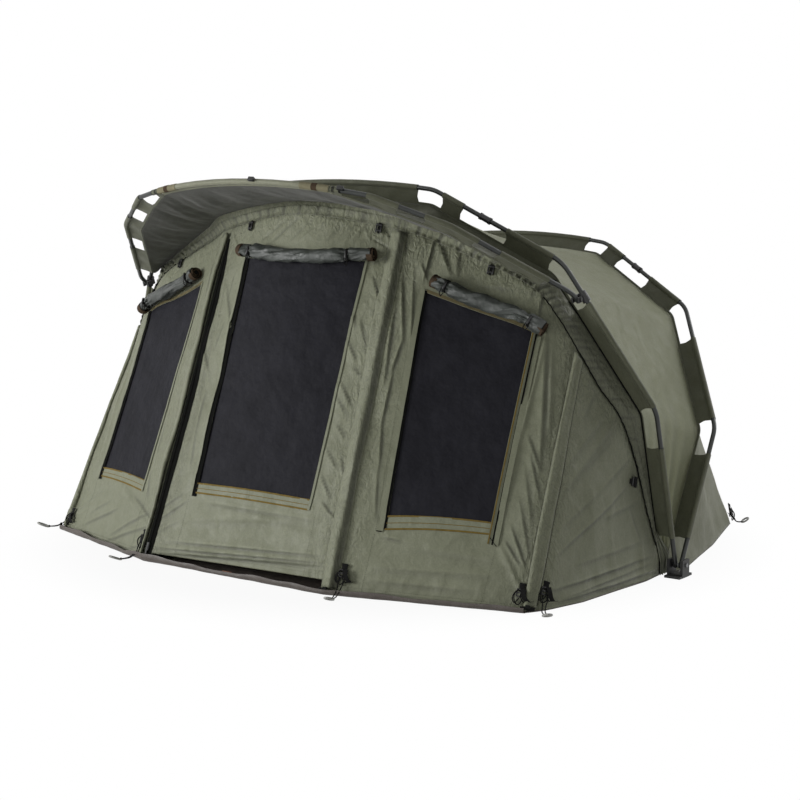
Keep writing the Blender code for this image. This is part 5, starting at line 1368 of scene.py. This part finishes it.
def web(node_name, rib, whole, start, end, cuts, body, depth_at=full_depth, finish=WEB, mirrored=False):
    """The tabs of a web along a stretch of a rib, with the seam cord that joins them."""
    edges = [start]
    for low, high in cuts:
        if high > start and low < end:
            edges += [low, high]
    edges.append(end)
    made = Batch(node_name + "_cloth", finish, PIPING, THREAD)
    for first, last in zip(edges[::2], edges[1::2]):
        if last - first < MIN_TAB:
            continue
        points = tab(rib, whole, max(first, start), min(last, end), depth_at)
        normal = unit(np.cross(np.gradient(points, axis=1), np.gradient(points, axis=0)))
        crest = points.shape[1] // 2
        if (normal[:, crest] * (points[:, crest] - points.mean(1))).sum() < 0:
            normal = -normal
        made.rings(np.concatenate([points, (points - normal * WEB_THICK)[:, ::-1]], axis=1))
    line, normal = rib_frame(whole, np.linspace(start, end, 120))
    depths = col(depth_at(line[:, 0]))
    low, high = line - normal * depths, line - normal * (depths - SEAM_TAPE)
    section = ((low, -SEAM_HALF), (high, -SEAM_HALF), (high, SEAM_HALF), (low, SEAM_HALF))
    made.rings(np.stack([stand(rib, flat, forward) for flat, forward in section], 1))
    made.rings(sweep(stand(rib, low), SEAM_CORD_R, CORD_SIDES))
    obj = made.made(body)
    if mirrored:
        obj.data.transform(Matrix.Scale(-1, 4, (1, 0, 0)))
        obj.data.flip_normals()
    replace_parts(obj, node_name)


def webs():
    for rib, prefix, body in FOLDING_RIBS:
        half = half_rib(rib)
        part_at = lock_share(rib, half)
        cuts = rib_cuts(rib, half)
        for side, label in SIDES:
            web(f"{prefix}_fin_{label}", rib, half, WEB_START, part_at, cuts, body, mirrored=side < 0)
        top_cuts = [(low / 2, high / 2) for low, high in cuts]
        top_cuts += [(1 - high, 1 - low) for low, high in top_cuts[::-1]]
        web(f"{prefix}_fin_top", rib, both_halves(half), part_at / 2, 1 - part_at / 2, top_cuts, body)
    half = half_rib(PEAK)
    for side, label in SIDES:
        web(f"peak_fin_{label}", PEAK, half, *PEAK_FIN, PEAK_CUTS, "peak_rib", peak_depth, mirrored=side < 0)
    whole, start = both_halves(half), PEAK_FIN[1] / 2
    web("peak_sleeve", PEAK, whole, start + 0.001, 1 - start - 0.001, (), "peak_rib", peak_depth, SLEEVE)
    ends = Batch("peak_sleeve_ends", TAN, BLACK_TAPE, BROWN, NYLON)
    bands = ((0.002, 0.043, 14, 0.0138, 0), (-0.006, -0.002, 2, 0.0120, 1), (-0.014, -0.010, 2, 0.0116, 1),
             (0.018, 0.026, 4, 0.0146, 2))
    for side in (1, -1):
        for first, last, count, radius, kind in bands:
            line = along(whole, start + np.linspace(first, last, count)) * (side, 1)
            ends.rings(sweep(stand(PEAK, line), radius, 20), kind)
        share = start + 0.115 + 0.20 * (side < 0)
        pair = stand(PEAK, along(whole, np.array([share, share + 0.002])) * (side, 1))
        way = unit(pair[1] - pair[0])
        face = unit(up_of(PEAK) - way * (up_of(PEAK) @ way))
        ends.box(pair[0] + face * 0.0175, (way, np.cross(face, way), face), (0.026, 0.016, 0.012), 3, 0.0006)
    ends.made("peak_rib")


# Ribs and fittings


def ribs():
    for rib, prefix, body in FOLDING_RIBS:
        half = half_rib(rib, TUBE_START)
        part_at = lock_share(rib, half)
        leg = stand(rib, along(half, np.linspace(0, part_at - 0.0002, 90)))
        shares = np.linspace(part_at / 2 + 0.0001, 1 - part_at / 2 - 0.0001, 110)
        crown = stand(rib, along(both_halves(half), shares))
        for path, label in ((leg, "right"), (flip(leg), "left"), (crown, "top")):
            tube = rods(f"{prefix}_tube_{label}", [path], TUBE_R, TUBE, body, TUBE_SIDES)
            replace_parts(tube, f"{prefix}_rib_{label}")
    line = stand(PEAK, spread(both_halves(half_rib(PEAK, TUBE_START)), 200))
    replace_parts(rods("peak_tube", [line], TUBE_R, TUBE, "peak_rib", TUBE_SIDES), "peak_rib")


FITTINGS = {"hinge_block": BLOCK, "hinge_bolt": STEEL, "main_lock": NYLON, "rear_lock": NYLON,
            "peak_knuckle": NYLON, "knuckle_bolt": NYLON, "zip_slider": NYLON}


def fittings():
    """Finishes for the frame's own moulded and metal nodes."""
    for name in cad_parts:
        for start, finish in FITTINGS.items():
            if name.startswith(start):
                for slot in bpy.data.objects[name].material_slots:
                    slot.material = finish


# Rolled window covers


ROLL_R, ROLL_GAP, ROLL_COUNT, ROLL_SIDES, ROLL_TIES = 0.0285, 0.005, 150, 44, (0.12, 0.84)


def across_of(t):
    """Two axes square to a way."""
    x = unit(np.cross(t, UP))
    return x, np.cross(t, x)


def roll(name, panel, start, end, node_name, seed, sag):
    """A crumpled cover rolled up above its window, with two ties and bound ends."""
    u, v = panel.level(start, end, np.linspace(0, 1, ROLL_COUNT))
    path = panel.spot(u, v) + panel.out(u, v) * (ROLL_R + ROLL_GAP)
    length = run_of(path)[-1]
    s = run_of(path) / length
    path = path - UP * col(sag * np.sin(np.pi * s))
    angle = np.arange(ROLL_SIDES) / ROLL_SIDES * TAU
    twist = angle + col(s) * length * 11
    where = np.stack(np.broadcast_arrays(col(s) * length, np.cos(twist) * ROLL_R, np.sin(twist) * ROLL_R), -1)
    dents = creases(where, 0.060, seed, (3.6, 1, 1)) * 0.36 + waves(where, 0.12, seed + 1, (2, 1, 1)) * 0.16
    pinch, near = (sum(bell((s - at) * length, width) for at in ROLL_TIES) for width in (0.014, 0.045))
    pleats = col(near) * np.cos(9 * angle + 1) * 0.10
    size = ROLL_R * (0.95 + dents + pleats - 0.32 * col(pinch) + 0.06 * (angle / TAU - 0.5))
    size *= col(1 - 0.10 * np.exp(-np.minimum(s, 1 - s) * length / 0.02))
    made = Batch(name, ROLL, BROWN, BLACK_TAPE)
    made.rings(sweep(path, size, ROLL_SIDES))
    tangent = unit(np.gradient(path, axis=0))
    for at, way in ((0, -1), (-1, 1)):
        t = tangent[at] * way
        x, y = across_of(t)
        turns = np.linspace(0, TAU * 2.4, 72)
        ring = hoop(path[at], x, y, turns, ROLL_R * (1.02 - 0.30 * turns / TAU))
        out = hoop(0, x, y, turns, 1.0) * 0.0024
        near, far = ring - t * 0.016, ring + t * col(0.010 - 0.0015 * np.sin(turns * 1.7))
        made.rings(np.stack([near, far, far + out, near + out], 1), 1)
        made.rings(sweep([path[at], path[at] + t * 0.0015, path[at] + t * 0.003], ROLL_R * 0.93, 28), 2)
    toggles = Batch(name + "_toggles", NYLON, BLACK_TAPE)
    for share in ROLL_TIES:
        k = int(share * (ROLL_COUNT - 1))
        t, out = tangent[k], panel.out(u[k], v[k])
        x, y = across_of(t)
        for shift in (-0.004, 0.004):
            ring = hoop(path[k] + t * shift, x * ROLL_R, y * ROLL_R, np.linspace(0, TAU, 37), 0.86)
            made.rings(sweep(ring, TIE_R, CORD_SIDES), 2)
        up = unit(np.cross(out, t))
        up = up * np.sign(up[2])
        centre = path[k] + out * ROLL_R * 0.95 - up * 0.004
        bar = [centre + up * high for high in (-0.018, -0.012, 0.012, 0.018)]
        toggles.rings(sweep(bar, (0.003, 0.0052, 0.0052, 0.003)), 0)
        hang = ((-14, 0, 0), (-30, 8, -6), (-44, 0, -16), (-34, -10, -12), (-12, -6, 0))
        cord = centre + np.array(hang) / 1000 @ np.array((up, t, out))
        toggles.rings(sweep(spread(cord, 24), 0.0019, 8), 1)
    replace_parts(made.made(), node_name)
    toggles.made()


def rolls():
    roll("door_roll", DOOR, (0.205, 0.900), (0.904, 0.905), "cover_roll_door", 151, 0.013)
    roll("right_roll", RIGHT, (0.222, 0.879), (0.718, 0.902), "cover_roll_right", 157, 0.004)
    roll("left_roll", LEFT, (0.222, 0.879), (0.718, 0.902), "cover_roll_left", 163, 0.004)


# Window trims


def window_trims():
    """Tapes, dark slots, turned edges and stitches round the three nets."""
    lines = []
    for label, panel, low in (("door", DOOR, 44), ("right", RIGHT, 52), ("left", LEFT, 46)):
        (a, b), (c, d), (e, f), (g, h) = panel.window
        made = Batch(f"{label}_window_trim", TAPE, ZIP, SHELL, BROWN, EDGE)
        x, y = 0.001 / panel.wide, 0.001 / panel.tall

        def edge(start, end, half, lift, kind):
            panel.ribbon(made, [start, end], half, lift, kind, 90)

        edge((a - 2 * x, b - low / 2 * y), (c + 2 * x, d - low / 2 * y), low * 0.00046, 0.0010, 2)
        for drop, half in ((2, 0.0032), (low * 0.52, 0.0012), (low - 2, 0.0034)):
            edge((a - 3 * x, b - drop * y), (c + 3 * x, d - drop * y), half, 0.0020, 0)
        u, v = panel.level((e, f), (g, h), np.linspace(0, 1, 40))
        panel.ribbon(made, np.stack([u, v + 7 * y], -1), 0.0065, 0.0012, 2 if label == "door" else 4)
        if label == "right":
            edge((a - 3 * x, b - 50 * y), (e - 3 * x, f + 6 * y), 0.0055, 0.0018, 1)
            edge((a - 17 * x, b - 58 * y), (e - 17 * x, f + 8 * y), 0.0100, 0.0040, 2)
            edge((a - 34 * x, b - 60 * y), (a - 12 * x, b - 60 * y), 0.0020, 0.0050, 1)
            for shift, half, kind, lift in ((14, 0.0110, 2, 0.0030), (7, 0.0026, 0, 0.0068),
                                            (25, 0.0032, 1, 0.0060), (38, 0.0115, 2, 0.0044)):
                edge((c + shift * x, d - 92 * y), (g + shift * x, h + 6 * y), half, lift, kind)
            edge((c + 2 * x, d - 60 * y), (c + 44 * x, d - 94 * y), 0.0012, 0.0050, 1)
        else:
            if label == "left":
                a, b, c, d, e, f, g, h, x = c, d, a, b, g, h, e, f, -x
            edge((a - 10 * x, b - (low + 14) * y), (e - 10 * x, f + 6 * y), 0.0125, 0.0014, 1)
            edge((a - 27 * x, b - (low + 14) * y), (e - 27 * x, f + 8 * y), 0.0065, 0.0050, 2)
            edge((c + 5 * x, d - low * y), (g + 5 * x, h + 6 * y), 0.0055, 0.0034, 2)
            edge((c - x, d), (g - x, h), 0.0014, 0.0012, 1)
        made.made()
        lines += [panel.thread((a - 38 * x, b - low * y), (e - 38 * x, f)),
                  panel.thread((a - 42 * x, 0.012), (a - 40 * x, b - low * y)),
                  panel.thread((c + 40 * x, 0.012), (c + 44 * x, d - low * y)),
                  panel.thread((c + 14 * x, d), (g + 14 * x, h))]
    for panel in PANELS:
        left, right = panel.lifted or (0, 0)
        lines += [panel.thread((0.02, v + left), (0.98, v + right)) for v in (0.012, 0.020)]
    stitches("wall_stitches", lines, 0.0075, 0.0046, 0.0011)


# Pegging points


def level_axes(way):
    way = unit(np.array((way[0], way[1], 0.0)))
    return np.array((way, (-way[1], way[0], 0.0), UP))


def ladder_buckle(batch, centre, axes, finish):
    """A ladder-lock buckle: two rails and three bars."""
    x, y, z = axes
    for side in (-1, 1):
        batch.box(centre + y * 0.0155 * side, axes, (0.030, 0.004, 0.0052), finish, 0.0008)
    for at, size in ((-0.013, 0.0045), (0.0, 0.005), (0.013, 0.0045)):
        batch.box(centre + x * at, axes, (size, 0.030, 0.0046), finish, 0.0008)


TAIL = ((12, 6, 10), (-4, 12, 16), (-22, 20, 14), (-34, 34, 8), (-30, 48, 5))
SLACK = ((0.024, 0.5, -0.012), (0.019, -0.7, 0.014), (0.030, 0.1, -0.004))


def peg_set(name, spot, way=None, height=0.085, reach=1.0, node_name=None):
    """A pull at the hem: sewn tab, buckle and slack cord on the cloth, two cords out to a metal ring."""
    foot, up, out = spot
    across = unit(np.cross(up, out))
    axes = np.array((up, across, out))
    made = Batch(name, BLACK_TAPE, NYLON, RING)
    high = foot + up * height + out * 0.004
    made.box(high + up * 0.018, axes, (0.034, 0.022, 0.0018), 0, 0.0004)
    made.box(high + up * 0.030 + out * 0.0012, axes, (0.008, 0.025, 0.0030), 0, 0.0006)
    ladder_buckle(made, high - up * 0.004 + out * 0.0035, axes, 1)
    tail = spread(high + np.array(TAIL) / 1000 @ axes, 20)
    wide = unit(across + up * 0.3) * 0.0090
    deep = unit(np.cross(unit(np.gradient(tail, axis=0)), wide)) * 0.0016
    corners = ((-1, -0.5), (1, -0.5), (1, 0.5), (-1, 0.5))
    made.rings(np.stack([tail + wide * a + deep * b for a, b in corners], 1))
    angle = np.linspace(0, TAU, 41)
    for size, lean, shift in SLACK:
        ring = high + across * shift - up * 0.018
        ring = ring + across * col(np.cos(angle) * size * 0.55 + np.sin(angle) * size * lean * 0.5)
        ring = ring + up * col(np.sin(angle) * size) + out * col(0.007 + 0.005 * np.cos(2 * angle + lean))
        made.rings(sweep(ring, LOOP_R, CORD_SIDES))
    if way is not None:
        x, y, z = level_axes(way)
        x = x * reach
        ground_at = foot * (1, 1, 0)
        for side in (-1, 1):
            cord = np.array([
                high - up * 0.012 + across * 0.008 * side,
                high - up * 0.040 + across * 0.011 * side + out * 0.010,
                foot + up * 0.020 + out * 0.018 + across * 0.007 * side,
                ground_at + x * 0.040 + z * 0.010 + y * 0.006 * side,
                ground_at + x * 0.062 + z * 0.0055 + y * 0.005 * side,
                ground_at + x * 0.090 + z * 0.0055 + y * 0.002 * side])
            made.rings(sweep(smooth_through(cord, np.linspace(0, 5, 40)), CORD_R, CORD_SIDES))
        t = np.linspace(0, 1, 7)
        knot = ground_at + x * col(0.080 + 0.012 * t) + z * 0.0058
        made.rings(sweep(knot, 0.0014 + 0.0046 * np.sin(np.pi * t), 10))
        angle = np.linspace(0, TAU, 37)
        ring = ground_at + x * col(0.113 + np.cos(angle) * 0.0240) + y * col(np.sin(angle) * 0.0160)
        made.rings(sweep(ring + z * col(0.0135 + 0.0095 * np.cos(angle)), RING_R, 10), 2)
    obj = made.made()
    if node_name:
        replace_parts(obj, node_name)


def pegs():
    for side, label in SIDES:
        panel, wing = WALLS[side]

        def at(cloth, u):
            return cloth.place(u, 0.0), unit(cloth.spot(u, 0.03) - cloth.spot(u, 0.0)), cloth.out(u, 0.03)

        peg_set(f"corner_tie_{label}", at(panel, 0.955), height=0.070)
        pulls = (("corner", wing, (0.67, -0.74), 0.075), ("door", panel, (0.32, -0.95), 0.085))
        for place, cloth, way, height in pulls:
            peg_set(f"{place}_peg_{label}", at(cloth, 0.070), (way[0] * side, way[1]), height,
                    node_name=f"peg_strap_{place}_{label}")
        back = flip(SIDE_HEM[-1], side)
        rise = unit(np.array((back[0] * -0.12, back[1] * -0.25, 1.0)))
        out = unit(np.array((back[0], back[1], 0.35)))
        spot = back, unit(rise - out * (rise @ out)), out
        peg_set(f"back_peg_{label}", spot, back, 0.060, 0.62, f"peg_strap_back_{label}")


# Small fittings on the cloth


CLIP_SPOTS = ((DOOR, 0.20, 0.983), (DOOR, 0.897, 0.990), (RIGHT, 0.433, 0.985), (LEFT, 0.45, 0.983))
CLIP_BLOCKS = (
    (0.0, 0.0, 0.0, (0.012, 0.046, 0.0016), 1, 0.0004),
    (-0.0105, 0.0, 0.002, (0.0065, 0.038, 0.0062), 0, 0.0014),
    (0.0105, 0.0, 0.002, (0.0065, 0.038, 0.0062), 0, 0.0014),
    (0.0, 0.014, 0.0025, (0.028, 0.009, 0.0056), 0, 0.0014),
    (0.0, -0.010, 0.0025, (0.026, 0.007, 0.0050), 0, 0.0012),
)
PULL_BLOCKS = (
    (0.002, (0.052, 0.020, 0.003), 1),
    (0.006, (0.030, 0.034, 0.008), 0),
    (0.012, (0.018, 0.044, 0.003), 1),
)
KNOT_BLOCKS = ((0.006, 0.012, 0.034), (0.010, -0.014, 0.026), (0.015, 0.002, 0.020))


def clips():
    """Clips under the arch, a pull on the wing, a tag at the door's foot and knots at the seams' feet."""
    made = Batch("arch_clips", NYLON, BLACK_TAPE, TAG)
    for panel, u, v in CLIP_SPOTS:
        out, up = panel.out(u, v), unit(panel.up(u, v))
        axes = np.array((np.cross(up, out), up, out))
        centre = panel.place(u, v, 0.007) - up * 0.010
        for a, b, c, size, kind, bevel in CLIP_BLOCKS:
            made.box(centre + (a, b, c) @ axes, axes, size, kind, bevel)
    u, v = 0.628, 0.827
    out, up = RIGHT_WING.out(u, v), unit(RIGHT_WING.up(u, v))
    for lift, size, kind in PULL_BLOCKS:
        made.box(RIGHT_WING.place(u, v, lift), (np.cross(up, out), up, out), size, kind, 0.0008)
    out = DOOR.out(0.485, 0.01)
    made.box(DOOR.spot(0.485, 0.0) + np.array((0, -0.013, 0.011)), (X_AXIS, unit(np.cross(out, X_AXIS)), out),
             (0.052, 0.012, 0.0016), 2, 0.0004)
    for side in (1, -1):
        for foot, lean in ((WING_HEM[0], 0.6), (DOOR_HEM, 0.2)):
            x, y, z = level_axes((lean * side, -1))
            for k, (a, b, size) in enumerate(KNOT_BLOCKS):
                centre = flip(foot, side) + x * a + y * b + z * (0.010 + 0.006 * k)
                made.box(centre, (unit(y + x * 0.4 * (k - 1)), z, x), (size, 0.013, 0.006), 1, 0.0012)
    made.made()


for dress in (studio, ribs, fittings, front_wall, seams, arch, foot_gathers, roof_strip, roof, back_wall,
              hood, webs, rolls, window_trims, ground, pegs, clips):
    dress()
